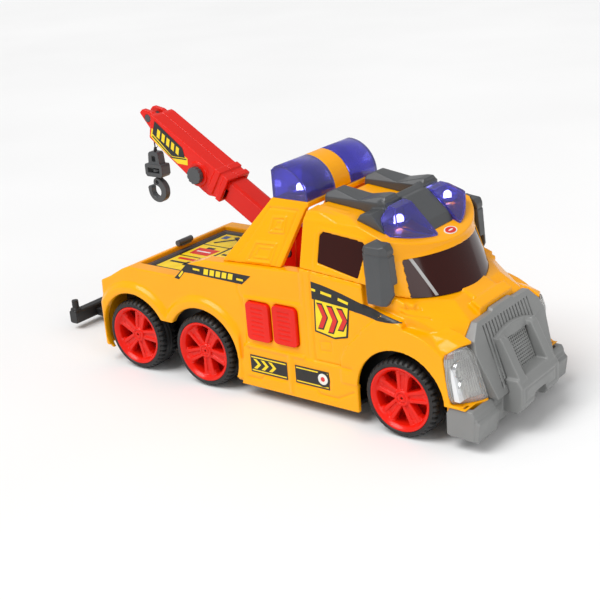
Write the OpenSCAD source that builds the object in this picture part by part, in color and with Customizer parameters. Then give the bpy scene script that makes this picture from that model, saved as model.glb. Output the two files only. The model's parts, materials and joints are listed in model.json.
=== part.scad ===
// Toy tow truck: three-axle wrecker with a hand-wound crane, light bars and a towing arm.
// The truck is drawn with X measured from the rear axle, then moved so that the
// origin is the centre of the footprint. +X is forward, +Y is the truck's left, +Z is up.

/* [Wheels] */
// Radius of the tyres
tyre_r = 24.3; // [23.5:0.1:24.8]
// Width of the tyres
tyre_w = 18; // [14:0.5:19]
// Radius of the wheel rims at the outer lip
rim_r = 20; // [19:0.1:20.5]
// Distance from the centre plane to the outer face of the tyres
track_half = 56.5; // [56:0.1:58]
// Distance from the rear axle to the middle axle
axle_gap = 60.5; // [59.5:0.1:62]
// Distance from the rear axle to the front axle
wheelbase = 210.6; // [209:0.1:212]
// Radius of the steel axles
axle_r = 1.5; // [1.3:0.05:1.6]

/* [Body] */
// Half width of the body at its side walls
body_half = 53.5; // [53:0.1:54]
// Thickness of the plastic walls
wall = 2.5; // [2:0.1:3]
// Radius of the wheel arches
arch_r = 29.5; // [28.5:0.1:30]
// Width of the raised lip round the rear wheel arches
lip_w = 9.2; // [7:0.1:10]
// Height of the bed's rim above the ground
rim_z = 72; // [71.5:0.1:72.5]
// Height of the sill below the doors
sill_z = 8.5; // [8:0.1:10]

/* [Crane] */
// Height of the crane's pivot
pivot_z = 85.3; // [85:0.1:86]
// Distance of the crane's pivot in front of the rear axle
pivot_x = 104; // [103.5:0.1:104.5]
// Angle of the resting boom above the horizontal
boom_tilt = 31.7; // [30:0.1:33]
// Half width of the inner boom
boom_half = 8.2; // [7.5:0.1:8.4]
// Half width of the sliding outer boom
sleeve_half = 10.2; // [10:0.1:11]
// Radius of the crane's pivot pin
pivot_r = 3; // [2.5:0.1:3.5]
// Radius of the winch spool
spool_r = 3; // [2.6:0.1:3.2]

/* [Towing arm] */
// Height of the towing arm's hinge
tow_hinge_z = 15; // [14:0.1:16]
// Height of the underside of the cross bar
tow_bar_z = 4.5; // [4:0.1:5]
// Length of the cross bar
tow_bar_len = 52; // [48:0.5:56]

/* [Hidden] */
$fn = 72;

// Extremes of the truck along X, and the shift that centres it
front_x = 271;
rear_x = -101;
mid_x = (front_x + rear_x) / 2;

// Gap of a running fit, and of parts that are only placed together
run_gap = 0.05;
seat_gap = 0.1;

axle_z = tyre_r;
axles = [0, axle_gap, wheelbase];
rim_barrel_r = rim_r - 1.5;
wheel_in = track_half - tyre_w;
floor_z = 10;
floor_top = floor_z + 2.5;
deck_z = rim_z - 4.5;
cab_rear_x = 143;
lip_y = track_half - 0.2;
tail_x = -33;
pin_s = 139.8;
pin_n = 1.6;
pin_r = 2.6;
string_r = 0.5;
screen_r = 66;
screen_lean = 22.4;
knob_s = 85.1;
knob_n = -3.6;
tip_x = pivot_x - pin_s * cos(boom_tilt) + pin_n * sin(boom_tilt);
tip_z = pivot_z + pin_s * sin(boom_tilt) + pin_n * cos(boom_tilt);
string_x = tip_x - pin_r - string_r;
block_top = 136;
hook_c = [string_x - 0.6, 108.6];
tow_hinge_x = -27;
screw_spots = [[31, 26], [92, 26], [236, 26]];

// Moves truck coordinates to the part's own origin
module in_frame() translate([-mid_x, 0, 0]) children();
// A flat shape in X and Z, as a slab between two heights in Y
module side(y0, y1) translate([0, y1, 0]) rotate([90, 0, 0]) linear_extrude(y1 - y0) children();
// A flat shape in Y and Z, as a slab between two places in X
module front(x0, x1) translate([x0, 0, 0]) rotate([90, 0, 90]) linear_extrude(x1 - x0) children();
// A shape and its mirror image on the other side of the truck
module both() {
    children();
    mirror([0, 1, 0]) children();
}
// The shape on the chosen side of the truck: +1 is left, -1 is right
module on_side(sgn) mirror([0, sgn < 0 ? 1 : 0, 0]) children();
// Boom coordinates: X runs from the pivot to the tip, Z is across the boom, Y as the truck
module boom_frame() translate([pivot_x, 0, pivot_z]) rotate([0, 180 + boom_tilt, 0]) mirror([0, 0, 1])
    children();
// A cylinder along Y
module rod(r, y0, y1) translate([0, y0, 0]) rotate([-90, 0, 0]) cylinder(r = r, h = y1 - y0);
// A rectangle with rounded corners
module round_rect(x, y, r) {
    translate([r, 0]) square([x - 2 * r, y]);
    translate([0, r]) square([x, y - 2 * r]);
    for (u = [r, x - r], v = [r, y - r]) translate([u, v]) circle(r);
}

/* ---- body ---- */

// Side outline of the bed, tail and the part behind the cab
module bed_outline() polygon([[tail_x, 14], [tail_x + 5.5, 9.5], [91, 9.5], [91, sill_z],
    [cab_rear_x + 1, sill_z], [cab_rear_x + 1, 90], [66, 86.5], [52, 82], [40, rim_z], [-2, rim_z],
    [-8.5, 69.5], [-22, 61.8], [tail_x + 3.2, 58.5], [tail_x + 0.8, 31]]);
// The same outline less the wall, as the hollow inside it
module bed_hollow() polygon([[tail_x + 3, 5], [tail_x + 3, 30], [tail_x + 5.4, 56.4], [-21, 59],
    [-7.5, 65],
    [82, 65], [82, rim_z - wall], [cab_rear_x - 2, rim_z - wall], [cab_rear_x - 2, 5]]);
// Plan of the bed with round corners at the tail
module bed_plan(half, back, r) union() {
    translate([back + r, -half]) square([300, 2 * half]);
    translate([back, -half + r]) square([300, 2 * (half - r)]);
    for (s = [-1, 1]) translate([back + r, s * (half - r)]) circle(r);
}
// Side outline of the doors and the cowl in front of them
module door_outline() polygon([[cab_rear_x, sill_z], [cab_rear_x, 93], [187, 89.8], [188, 77], [213, 72],
    [213, 30], [181, 24], [181, sill_z]]);
// Side outline of the cowl between the door and the hood
module cowl_outline() polygon([[184, 60], [184, 90], [190, 89.4], [213, 81.3], [213, 60]]);
// The hood, narrowing from the cowl to the grille
module hood(o) hull() {
    front(206, 207) polygon([[-50 + o, 30], [-50 + o, 78 - o], [-46 + o, 82 - o], [46 - o, 82 - o],
        [50 - o, 78 - o], [50 - o, 30]]);
    front(213, 214) polygon([[-50 + o, 30], [-50 + o, 76 - o], [-44 + o, 80 - o], [44 - o, 80 - o],
        [50 - o, 76 - o], [50 - o, 30]]);
    front(230 - o, 231 - o) polygon([[-26 + o, 60], [-26 + o, 78.5 - o], [26 - o, 78.5 - o],
        [26 - o, 60]]);
    front(242 - o, 243.4 - o) polygon([[-40.5 + o, 27], [-40.5 + o, 58.8 - o], [-30 + o, 68.6 - o],
        [30 - o, 68.6 - o], [40.5 - o, 58.8 - o], [40.5 - o, 27]]);
    front(250 - o, 251 - o) polygon([[-40.5 + o, 27], [-40.5 + o, 34], [40.5 - o, 34], [40.5 - o, 27]]);
}
// Round front fender over the front wheel
module fender(r, y0, y1) side(y0, y1) intersection() {
    translate([wheelbase, axle_z]) circle(r);
    polygon([[170, 26.5], [270, 26.5], [250, 27], [243.3, 58], [240, 80], [170, 80]]);
}
module arch_lips() intersection() {
    for (x = [0, axle_gap]) translate([x, 0, axle_z]) rotate([90, 0, 0]) rotate_extrude()
        polygon([[0, -lip_y], [arch_r + 5, -lip_y], [arch_r + lip_w, 4 - lip_y],
            [arch_r + lip_w, lip_y - 4], [arch_r + 5, lip_y], [0, lip_y]]);
    side(-60, 60) polygon([[tail_x, 12], [92, 12], [92, 70], [-20, 70], [tail_x + 2, 50]]);
}
module wheel_cuts() {
    for (x = axles) translate([x, 0, axle_z]) rod(arch_r, -70, 70);
    translate([6, -70, 0]) cube([axle_gap - 12, 140, 39.5]);
    translate([wheelbase - 24, -70, 0]) cube([24, 140, axle_z - 8]);
}
module lower_body() color("orange") in_frame() difference() {
    union() {
        intersection() {
            side(-body_half, body_half) bed_outline();
            linear_extrude(120) bed_plan(body_half, tail_x, 5);
        }
        intersection() {
            arch_lips();
            linear_extrude(120) bed_plan(track_half, tail_x - 0.4, 7);
        }
        side(-body_half - 1, body_half + 1) door_outline();
        side(-50, 50) cowl_outline();
        side(-55.2, 55.2) polygon([[91, sill_z], [181, sill_z], [179.5, 35.4], [95, 35.4]]);
        side(-56, 56) polygon([[97, 35.4], [cab_rear_x, 35.4], [cab_rear_x, 37.2], [97, 37.2]]);
        side(-body_half - 0.9, body_half + 0.9) polygon([[97.5, 37], [142, 37], [142, 70], [97.5, 68]]);
        hood(0);
        both() fender(43.5, 38, 55.8);
        both() side(47, 55.8) polygon([[178, 40], [186, 62], [200, 74], [214, 70], [214, 50]]);
    }
    // Hollow inside
    side(-body_half + wall, body_half - wall) bed_hollow();
    both() side(46.5, body_half - wall) polygon([[46, 69], [56, 79.5], [68, 83.7], [cab_rear_x - 2, 87],
        [cab_rear_x - 2, 69]]);
    side(-52, 52) polygon([[cab_rear_x + wall, 5], [cab_rear_x + wall, 100], [186.5, 100], [186.5, 74.8],
        [212, 69.8], [212, 20], [179, 5]]);
    side(-47.5, 47.5) polygon([[186, 20], [186, 100], [212, 100], [212, 20]]);
    translate([cab_rear_x - 4, -51, 5]) cube([9, 102, 61]);
    hood(wall);
    both() fender(41, 38, 53.3);
    side(-34, 34) polygon([[180, 5], [262, 5], [262, 27.5], [180, 27.5]]);
    wheel_cuts();
    // Bed recess, crane well and openings for the buttons and the lens of each headlight
    translate([0, -43, deck_z]) cube([82, 86, 20]);
    translate([82, -44, rim_z]) cube([cab_rear_x - 84, 88, 30]);
    for (b = buttons) translate([b[0], -60, b[1]]) rotate([90, 0, 0]) mirror([0, 0, 1])
        linear_extrude(15) round_rect(18.2, 25.2, 3);
    translate([100, body_half - 3.5, 41]) cube([39.4, 10, 26]);
    both() headlight_shape(0.15);
    side(-41.2, 41.2) polygon([[243.5, 80], [243.5, 59.9], [251.9, 33.9], [251.9, 20], [280, 20],
        [280, 80]]);
    // Notch for the towing arm
    translate([tail_x - 5, -7, 0]) cube([12, 14, 24]);
}
// Lower rear corner of each sound and light button in the right side wall
buttons = [[100.2, 41], [121, 42]];

// Curved front of the cab: the leaning windscreen and the visor above it, inset by o
module windscreen_round(o) translate([159.7, 0, 78]) rotate([0, -screen_lean, 0]) translate([0, 0, -40])
    cylinder(r = screen_r - o, h = 120, $fn = 144);
// Greenhouse: the cab above the belt line, inset by o
module greenhouse(o) intersection() {
    side(-60, 60) polygon([[cab_rear_x + o, 93 - 3 * o], [cab_rear_x + o, 121.5],
        [cab_rear_x + 5, 127 - o],
        [172, 124.5 - o], [198, 116 - o], [223, 106 - o], [235, 80.8 - 3 * o], [213, 81.4 - 3 * o],
        [190, 89.5 - 3 * o]]);
    front(100, 260) polygon([[-53.5 + o, 60], [-53.5 + o, 93], [-46.5 + o, 121 - o], [-36, 127.5 - o],
        [36, 127.5 - o], [46.5 - o, 121 - o], [53.5 - o, 93], [53.5 - o, 60]]);
    union() {
        windscreen_round(o);
        translate([153.5, 0, 102.6 - o]) cylinder(r = screen_r - o, h = 40, $fn = 144);
    }
}
module windscreen_cut(o) front(196, 240) polygon([[-42 - o, 81.8 - o], [-30, 80.2 - o], [-15, 79.3 - o],
    [15, 79.3 - o], [30, 80.2 - o], [42 + o, 81.8 - o], [39.6 + o, 102.5 + o], [-39.6 - o, 102.5 + o]]);
module side_window_cut(o) side(30, 60) polygon([[155.5 - o, 97.5 - o], [155.5 - o, 113 + o],
    [158 - o, 115.5 + o],
    [186 + o, 113 + o], [188.5 + o, 110], [184.5 + o, 92.5 - o]]);
module cab_shell() color("orange") in_frame() difference() {
    translate([0, 0, seat_gap]) greenhouse(0);
    greenhouse(wall);
    windscreen_cut(0);
    both() side_window_cut(0);
}
module glazing() color([0.16, 0.06, 0.05]) in_frame() {
    intersection() {
        difference() {
            windscreen_round(0.7);
            windscreen_round(1.9);
        }
        windscreen_cut(-0.1);
    }
    both() intersection() {
        side_window_cut(-0.1);
        front(100, 200) polygon([[53.55, 90], [52.35, 90], [44.85, 120], [46.05, 120]]);
    }
}
module tower() color("orange") in_frame() {
    intersection() {
        side(-60, 60) polygon([[80, 87.3], [125.5, 89.4], [140.5, 127.9], [113, 127.9]]);
        union() both() front(60, 160) polygon([[52.6, 80], [48.6, 80], [33, 127.9], [37, 127.9]]);
    }
    translate([112.5, -37.4, 124.6]) cube([28, 74.8, 3.3]);
}
module crane_base() color("red") in_frame() difference() {
    union() {
        translate([84, -42, rim_z + seat_gap]) cube([54, 84, 3]);
        both() side(11.5, 15.5) polygon([[90, 75], [94, 90], [99, 95], [109, 95], [114, 90], [124, 75]]);
        side(-37, 37) polygon([[126, 75], [129, 112], [136, 112], [138, 75]]);
    }
    translate([pivot_x, 0, pivot_z]) rod(pivot_r + 0.02, -20, 20);
}
module boom_pivot_pin() color("dimgray") in_frame() translate([pivot_x, 0, pivot_z])
    rod(pivot_r, -16, 16);

/* ---- front ---- */

module headlight_shape(o) intersection() {
    side(33 - o, 60) polygon([[240 - o, 55 + o], [243.4 + o, 60 + o], [256, 40], [256, 27.5 - o],
        [244 - o, 27.5 - o]]);
    front(200, 280) polygon([[34.5 - o, 28 - o], [54, 28 - o], [60, 30], [60, 52], [54.5, 56.5 + o],
        [46, 59.5 + o], [41.2 - o, 57 + o], [40.9 - o, 54]]);
}
module headlight_body(o) intersection() {
    fender(43.3 - o, 33, 55.6 - o);
    side(30, 60) polygon([[244.2 + o, 28], [240.4 + o, 55.6], [243.3 - o, 59], [256 - o, 40],
        [256 - o, 28]]);
    front(200, 280) polygon([[34.8 + o, 28.4 + o], [53, 28.4 + o], [56, 31], [56, 50], [54, 55.5 - o],
        [46, 58.5 - o], [41.4 + o, 57 - o], [41 + o, 54]]);
}
module headlight_lens(sgn) color([0.9, 0.92, 0.95, 0.5]) in_frame() on_side(sgn) difference() {
    headlight_body(0);
    headlight_body(1.2);
}
module headlight_lens_right() headlight_lens(-1);
module headlight_lens_left() headlight_lens(1);
module headlight_reflectors() color("silver") in_frame() both() intersection() {
    headlight_body(1.5);
    side(36.5, 54) polygon([[245.9, 30], [242.1, 56], [243, 57.5], [250, 30]]);
}
module grille() color("gray") in_frame() difference() {
    intersection() {
        side(-60, 60) polygon([[243.6, 60], [243.6, 71], [247, 71], [262.5, 26.5], [252, 26.5],
            [252, 34]]);
        front(240, 270) polygon([[-34, 26.5], [-40.5, 54], [-38, 61], [-30, 69], [-12.5, 69.4],
            [-11, 71], [11, 71], [12.5, 69.4], [30, 69], [38, 61], [40.5, 54], [34, 26.5]]);
    }
    // Vertical slots beside and above the middle panel, and the rows of the middle panel
    for (y = [-25.5 : 3.4 : 25.5]) side(y - 0.6, y + 0.6) polygon([[243, 66], [250, 66], [262, 30],
        [259, 30], [247.2, 62]]);
    side(-13, 13) polygon([[250.5, 56], [256, 57], [264, 33], [259, 33]]);
}
module bumper() color("gray") in_frame() difference() {
    union() {
        side(-54.5, 54.5) polygon([[240.5, 9.5], [240.5, 22.5], [243, 26.2], [257, 26.2], [258.4, 23.5],
            [257.6, 8.5], [243, 8.5]]);
        both() side(31.5, 53.8) polygon([[252, 7.6], [252, 22.5], [258.5, 22.5], [261.5, 19],
            [260, 7.6]]);
        side(-22.5, 22.5) polygon([[252, 14], [252, 26.3], [262.6, 26.3], [260, 34.5], [268, 34.5],
            [front_x, 30], [front_x, 18], [268, 14]]);
        both() side(16.5, 20.5) polygon([[262.9, 26.3], [252.3, 56.6], [256.6, 57.5], [268.5, 34],
            [268.5, 26.3]]);
    }
    side(-70, 70) intersection() {
        translate([wheelbase, axle_z]) circle(arch_r);
        square([300, 60]);
    }
    front(264, 280) polygon([[-10, 12], [-6, 22.5], [6, 22.5], [10, 12]]);
    translate([240, -50.5, 10]) cube([15, 101, 20]);
}
module side_mirror(sgn) color("dimgray") in_frame() on_side(sgn) difference() {
    intersection() {
        side(46, 54.8) polygon([[191.5, 79.5], [188.3, 110.5], [190.2, 113.5], [196, 116.6], [203, 114.4],
            [205, 111.5], [207.5, 85.5], [203.5, 78.8]]);
        translate([188, 0, 0]) linear_extrude(130) polygon([[0, 40], [0, 52.5], [3.5, 54.8], [13, 54.8],
            [19.5, 51.5], [19.5, 40]]);
        front(180, 220) polygon([[40, 77.5], [40, 130], [47, 130], [50, 116], [54.8, 113], [54.8, 77.5]]);
    }
    for (d = [0, 1, 2.5, 5]) translate([d / 2.3, 0, -d]) greenhouse(-0.4);
    translate([150, -49.9 - seat_gap, 60]) cube([62, 99.8 + 2 * seat_gap, 31]);
}
module side_mirror_right() side_mirror(-1);
module side_mirror_left() side_mirror(1);

/* ---- lights on the roof and the tower ---- */

module over_roof(o) difference() {
    children();
    translate([0, 0, seat_gap + o]) greenhouse(0);
}
module roof_housing() color("dimgray") in_frame() difference() {
    over_roof(0.1) union() {
        both() intersection() {
            side(12.5, 28.5) polygon([[146, 121], [146.5, 132], [152, 134.5], [170, 130.5], [184, 133.5],
                [188, 133.5], [189, 118]]);
            front(140, 200) polygon([[12.5, 110], [12.5, 130], [16, 134.5], [25, 134.5], [28.5, 130],
                [28.5, 110]]);
        }
        side(-41, 41) polygon([[174, 118], [180, 126.5], [187.5, 127.5], [190.5, 124], [199.5, 113],
            [202, 108], [190, 108]]);
        side(-11.5, 11.5) polygon([[183, 118], [186, 130], [192, 130], [206, 117.5], [210, 110],
            [200, 105]]);
        side(-28, 28) polygon([[183, 126], [183, 130.5], [186, 132], [189, 130.5], [189, 126]]);
    }
    both() roof_lens_shape(0.15);
    front(140, 260) both() polygon([[41.5, 100], [41.5, 112], [36, 121.5], [28.6, 127.5],
        [28.6, 140], [70, 140],
        [70, 100]]);
}
module roof_lens_shape(o) intersection() {
    side(12 - o, 41 + o) polygon([[190 - o, 125 + o], [191 - o, 129.5 + o], [196 + o, 128.5 + o],
        [205 + o, 119.5 + o], [213 + o, 111.5 + o], [213 + o, 100], [196 - o, 100]]);
    front(140, 260) polygon([[12 - o, 100], [12 - o, 130], [27 + o, 130 + o], [36 + o, 123 + o],
        [41 + o, 115 + o], [41 + o, 100]]);
    translate([152 + o, 0, 0]) cylinder(r = 62.5, h = 150, $fn = 144);
}
module roof_lens(sgn) color([0.25, 0.2, 0.9, 0.6]) in_frame() on_side(sgn) over_roof(0.1) difference() {
    roof_lens_shape(0);
    translate([-1.4, 1.4, -1.4]) intersection() {
        roof_lens_shape(0);
        translate([0, -2.8, 0]) roof_lens_shape(0);
    }
}
module roof_lens_right() roof_lens(-1);
module roof_lens_left() roof_lens(1);
module bar_profile(o) {
    intersection() {
        translate([119.5, 128.1]) circle(20 - o);
        translate([119.5, 128.1]) square([40, 40]);
    }
    translate([113.6 + o, 128.1]) square([6.1 - o, 17 - o]);
    intersection() {
        translate([119.6, 142.1]) circle(6 - o);
        translate([113, 142]) square([6.6, 10]);
    }
}
module light_bar_bridge() color("orange") in_frame() {
    difference() {
        side(-8, 8) bar_profile(0);
        side(-6.4, 6.4) bar_profile(1.6);
    }
}
module light_bar_lens(sgn) color([0.25, 0.2, 0.9, 0.6]) in_frame() on_side(sgn) difference() {
    side(8.1, 36.4) bar_profile(0);
    side(9.6, 34.9) bar_profile(1.5);
}
module light_bar_lens_right() light_bar_lens(-1);
module light_bar_lens_left() light_bar_lens(1);
module led() {
    cylinder(r = 2.4, h = 4);
    translate([0, 0, 4]) sphere(2.4);
}
module lamp_leds() color("white") in_frame() both() {
    translate([124, 22, 128.1]) led();
    translate([196, 26, 117.6]) led();
}

/* ---- bed ---- */

module deck_insert() color("dimgray") in_frame() difference() {
    translate([0.2, -42.8, deck_z + seat_gap]) cube([81.6, 85.6, 1.8]);
    translate([3, -39.5, deck_z + 1.2]) cube([76, 79, 3]);
}
module deck_catch() color("dimgray") in_frame() {
    translate([0.4, 0, rim_z + 2.3]) rod(2, -7, 7);
    translate([-1.6, -5, rim_z + seat_gap]) cube([4, 10, 1]);
}

/* ---- chassis and what is inside ---- */

module chassis() color([0.1, 0.1, 0.1]) in_frame() difference() {
    union() {
        translate([-26, -35.5, floor_z]) cube([264.5, 71, 2.5]);
        translate([93.5, -50.5, floor_z]) cube([84, 101, 2.5]);
        both() translate([-26, 33.5, floor_z]) cube([264.5, 2, 38]);
        both() translate([93.5, 48.5, floor_z]) cube([84, 2, 20]);
        translate([-26, -35.5, floor_z]) cube([2, 71, 38]);
        translate([236.5, -35.5, floor_z]) cube([2, 71, 28]);
        // Battery box
        difference() {
            translate([101, -18, floor_z]) cube([58, 36, 19]);
            translate([103, -16, floor_z - 1]) cube([54, 32, 25]);
        }
        // Screw posts, board posts and the brackets of the towing arm
        for (s = screw_spots) both() translate([s[0], s[1], floor_z]) cylinder(r = 4, h = 40);
        for (x = [104, 156]) both() translate([x, 22, floor_top - 0.5]) cylinder(r = 2.2, h = 21.6);
        both() side(4.5, 7) polygon([[-24, 10], [-24, 22], [tow_hinge_x - 4, 19], [tow_hinge_x - 4, 12],
            [tow_hinge_x + 1, 10]]);
    }
    for (x = axles) translate([x, 0, axle_z]) rod(axle_r + run_gap, -60, 60);
    for (s = screw_spots) both() translate([s[0], s[1], 0]) {
        cylinder(r = 3.1, h = floor_z + 1.2);
        cylinder(r = 1.4, h = 80);
    }
    translate([104, -15, 0]) cube([52, 30, 20]);
    for (a = [0 : 60 : 300]) translate([180 + 7 * cos(a), 7 * sin(a), 0]) cylinder(r = 1.2, h = 20);
    translate([172, 28, 0]) cube([9, 5, 20]);
    translate([tow_hinge_x, 0, tow_hinge_z]) rod(1.52, -10, 10);
    translate([-27, -4.3, 5]) cube([4.5, 8.6, 25]);
}
module battery_door() color([0.12, 0.12, 0.12]) in_frame() difference() {
    translate([104.2, -14.8, floor_z - 0.2]) cube([51.6, 29.6, 2]);
    translate([108, -6, floor_z - 1]) cube([1.5, 12, 1.6]);
    translate([111, -6, floor_z - 1]) cube([1.5, 12, 1.6]);
}
module batteries() color("goldenrod") in_frame() both() translate([104, 7.6, floor_top + 7.2])
    rotate([0, 90, 0]) {
    cylinder(r = 7, h = 48.5);
    cylinder(r = 2.5, h = 50.5);
}
module circuit_board() color("green") in_frame() {
    translate([101, -25, 33.7]) cube([58, 50, 1.6]);
    translate([112, -8, 35.3]) cube([14, 10, 2]);
    for (x = [134, 142, 150]) translate([x, 8, 35.3]) cylinder(r = 2.5, h = 7);
}
module speaker() color("silver") in_frame() {
    translate([180, 0, floor_top]) cylinder(r = 14, h = 3);
    translate([180, 0, floor_top + 3]) cylinder(r = 8, h = 3.5);
}
module power_switch() color("black") in_frame() {
    translate([174.2, 28.4, floor_z - 1]) cube([4.5, 4.2, 4]);
    translate([172.5, 28.3, floor_top + 0.1]) cube([8, 4.4, 1.5]);
}
module screws() color("silver") in_frame() for (s = screw_spots) both() translate([s[0], s[1], 0]) {
    translate([0, 0, floor_z - 0.3]) cylinder(r = 2.9, h = 1.5);
    translate([0, 0, floor_z]) cylinder(r = 1.38, h = 18);
}
module button(b) translate([b[0], 0, b[1]]) difference() {
    union() {
        translate([0.2, -50.9, 0.2]) rotate([90, 0, 0]) linear_extrude(5.6) round_rect(17.8, 24.8, 2.8);
        translate([-0.7, -50.9, -0.9]) mirror([0, 1, 0]) translate([0, -1.6, 0]) cube([19.6, 1.6, 27]);
    }
    for (i = [0 : 6]) translate([4.4, -57, 3.6 + 2.9 * i]) cube([9.4, 1, 0.9]);
}
module button_light() color("red") in_frame() button(buttons[0]);
module button_sound() color("red") in_frame() button(buttons[1]);
module button_board() color("green") in_frame() {
    translate([101, -44.6, 40]) cube([38, 1.6, 28]);
    for (b = buttons) translate([b[0] + 9, -44.6, b[1] + 12.6]) rotate([90, 0, 0])
        cylinder(r = 3, h = 2.4);
}
module left_vents() color("red") in_frame() for (b = buttons)
    translate([b[0] + 0.4, body_half - 2.3, b[1] + 0.3])
    difference() {
        rotate([90, 0, 0]) mirror([0, 0, 1]) linear_extrude(4.6) round_rect(17.4, 24.2, 2.8);
        for (i = [0 : 6]) translate([4.2, 4, 3.4 + 2.9 * i]) cube([9.4, 1, 0.9]);
    }

/* ---- towing arm ---- */

module tow_arm() color([0.08, 0.08, 0.08]) in_frame() difference() {
    union() {
        side(-4, 4) polygon([[tow_hinge_x - 3, 18], [tow_hinge_x + 2.6, 18], [tow_hinge_x + 3.4, 15],
            [tow_hinge_x + 2, 12], [tow_hinge_x - 8, 10], [-62, 5], [-92.9, 5], [-92.9, 10.5],
            [-64, 11]]);
        side(-6.5, 6.5) polygon([[-84, 5], [-92.9, 5], [-92.9, 10.5], [-84, 10.5]]);
    }
    translate([tow_hinge_x, 0, tow_hinge_z]) rod(1.5 + run_gap, -10, 10);
}
module tow_crossbar() color([0.08, 0.08, 0.08]) in_frame() {
    side(-tow_bar_len / 2, tow_bar_len / 2) polygon([[-100.2, tow_bar_z + 0.8], [-99.4, tow_bar_z],
        [-93.8, tow_bar_z], [-93, tow_bar_z + 0.8], [-93, 13.2], [-93.8, 14], [-99.4, 14],
        [-100.2, 13.2]]);
    both() translate([-97, tow_bar_len / 2 - 4, 13]) cylinder(r = 2.5, h = 8.6);
    both() translate([-97, tow_bar_len / 2 - 4, 12]) cylinder(r = 4, h = 3.4);
}
module tow_hinge_pin() color("silver") in_frame() translate([tow_hinge_x, 0, tow_hinge_z])
    rod(1.5, -7, 7);

/* ---- crane ---- */

module boom_side(y0, y1) boom_frame() side(y0, y1) children();
module inner_boom() color("red") in_frame() difference() {
    union() {
        boom_side(-boom_half, boom_half) polygon([[-8, -4], [-5, -7.2], [100.5, -7.2], [100.5, 6.2],
            [-5, 6.2], [-8, 3]]);
        boom_side(-boom_half + 2, boom_half - 2) polygon([[8, 6], [100.5, 6], [100.5, 6.9], [8, 6.9]]);
        boom_side(-11.2, 11.2) circle(7);
    }
    boom_side(-boom_half + 2, boom_half - 2) polygon([[12, -5.2], [105, -5.2], [105, 4.8], [12, 4.8]]);
    boom_side(-20, 20) circle(pivot_r + run_gap);
    // Slot that lets the spool and its shaft slide
    boom_side(-20, 20) {
        translate([knob_s - 24.5, knob_n - 4.2]) square([52, 8.4]);
    }
}
module sleeve_outline() polygon([[62, -8.8], [62, 8.5], [133.5, 8.5], [136, 7.9], [132, -4], [131, -7],
    [96, -9.8], [78, -11.6], [72, -11.4], [66, -8.4]]);
module sleeve_hollow() polygon([[55, -7.5], [55, 7.2], [121, 7.2], [121, -7.5]]);
module outer_boom_half(sgn) difference() {
    on_side(sgn) union() {
        boom_side(0.05, sleeve_half) sleeve_outline();
        boom_side(0.05, sleeve_half + 0.9) polygon([[62, -9.2], [62, 9.3], [66, 9.3], [66, -9.2]]);
        boom_side(0.05, sleeve_half + 0.9) polygon([[69.5, -8], [69.5, 9.3], [74, 9.3], [74, -8]]);
        boom_side(0.05, sleeve_half + 1.2) translate([knob_s, knob_n]) circle(8);
        boom_side(3.2, 7) polygon([[128, -5], [136.5, -3], [147.4, 1], [146.4, 4.5], [139, 7.4],
            [128, 7.4]]);
    }
    boom_side(-boom_half - 0.35, boom_half + 0.35) sleeve_hollow();
    boom_side(-3.2, 3.2) polygon([[120, -5.5], [150, -5.5], [150, 5.5], [120, 5.5]]);
    boom_side(-3.2, 3.2) polygon([[126, -12], [150, -12], [150, 4], [126, 4]]);
    boom_side(-20, 20) translate([knob_s, knob_n]) circle(2.5 + run_gap);
    boom_side(-20, 20) translate([pin_s, pin_n]) circle(pin_r);
}
module outer_boom_right() color("red") in_frame() outer_boom_half(-1);
module outer_boom_left() color("red") in_frame() outer_boom_half(1);
module tip_pin() color("dimgray") in_frame() boom_frame() translate([pin_s, 0, pin_n])
    rod(pin_r - 0.02, -7, 7);
module winch_drum() color("dimgray") in_frame() boom_frame() translate([knob_s, 0, knob_n]) {
    rod(2.5, -sleeve_half - 1.4, sleeve_half + 1);
    rod(spool_r, -4, 4);
}
module winch_knob() color("dimgray") in_frame() boom_frame() translate([knob_s, 0, knob_n]) difference() {
    rod(5.8, -sleeve_half - 4.8, -sleeve_half - 1.4);
    for (a = [0 : 30 : 330]) rotate([0, a, 0]) translate([5.9, 0, 0]) rod(0.6, -16, -11);
}

/* ---- hook ---- */

module string() color([0.2, 0.2, 0.2]) in_frame() translate([string_x, 0, block_top]) {
    cylinder(r = string_r, h = tip_z - block_top);
    translate([0, 0, 1.4]) sphere(1.3);
}
module hook_block() color("dimgray") in_frame() translate([string_x, 0, 0]) difference() {
    union() {
        side(-3, 3) polygon([[-5.3, 127.5], [-4.6, 134.6], [-3.4, block_top - 0.2],
            [3.4, block_top - 0.2],
            [4.6, 134.6], [5.3, 127.5]]);
        side(-4.2, 4.2) polygon([[-7.4, 127.5], [-8, 126], [-8, 120.5], [-6.5, 118.6],
            [6.5, 118.6], [8, 120.5],
            [8, 126], [7.4, 127.5]]);
    }
    side(-5, 5) translate([-1.6, 129]) square([3.2, 4]);
    side(-5, 5) translate([-5.4, 121.4]) square([10.8, 3.6]);
    translate([0, 0, 118]) cylinder(r = 1.8 + run_gap, h = 4);
}
module hook() color("dimgray") in_frame() difference() {
    union() {
        translate([string_x, 0, 114]) cylinder(r = 1.8, h = 9.6);
        translate([string_x, 0, 121.9]) cylinder(r = 3.2, h = 2);
        side(-2.2, 2.2) difference() {
            union() {
                translate([string_x, 114]) circle(3.6);
                difference() {
                    translate(hook_c) circle(8.4);
                    translate([hook_c[0] - 10, hook_c[1] + 0.5]) square([9.4, 12]);
                }
            }
            translate([string_x - 1.4, 107.9]) circle(4.2);
        }
        side(-2.2, 2.2) translate([hook_c[0] - 6.7, hook_c[1] + 1]) circle(1.9);
    }
    side(-3, 3) translate([string_x, 114.4]) circle(1.4);
}

/* ---- wheels ---- */

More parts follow.
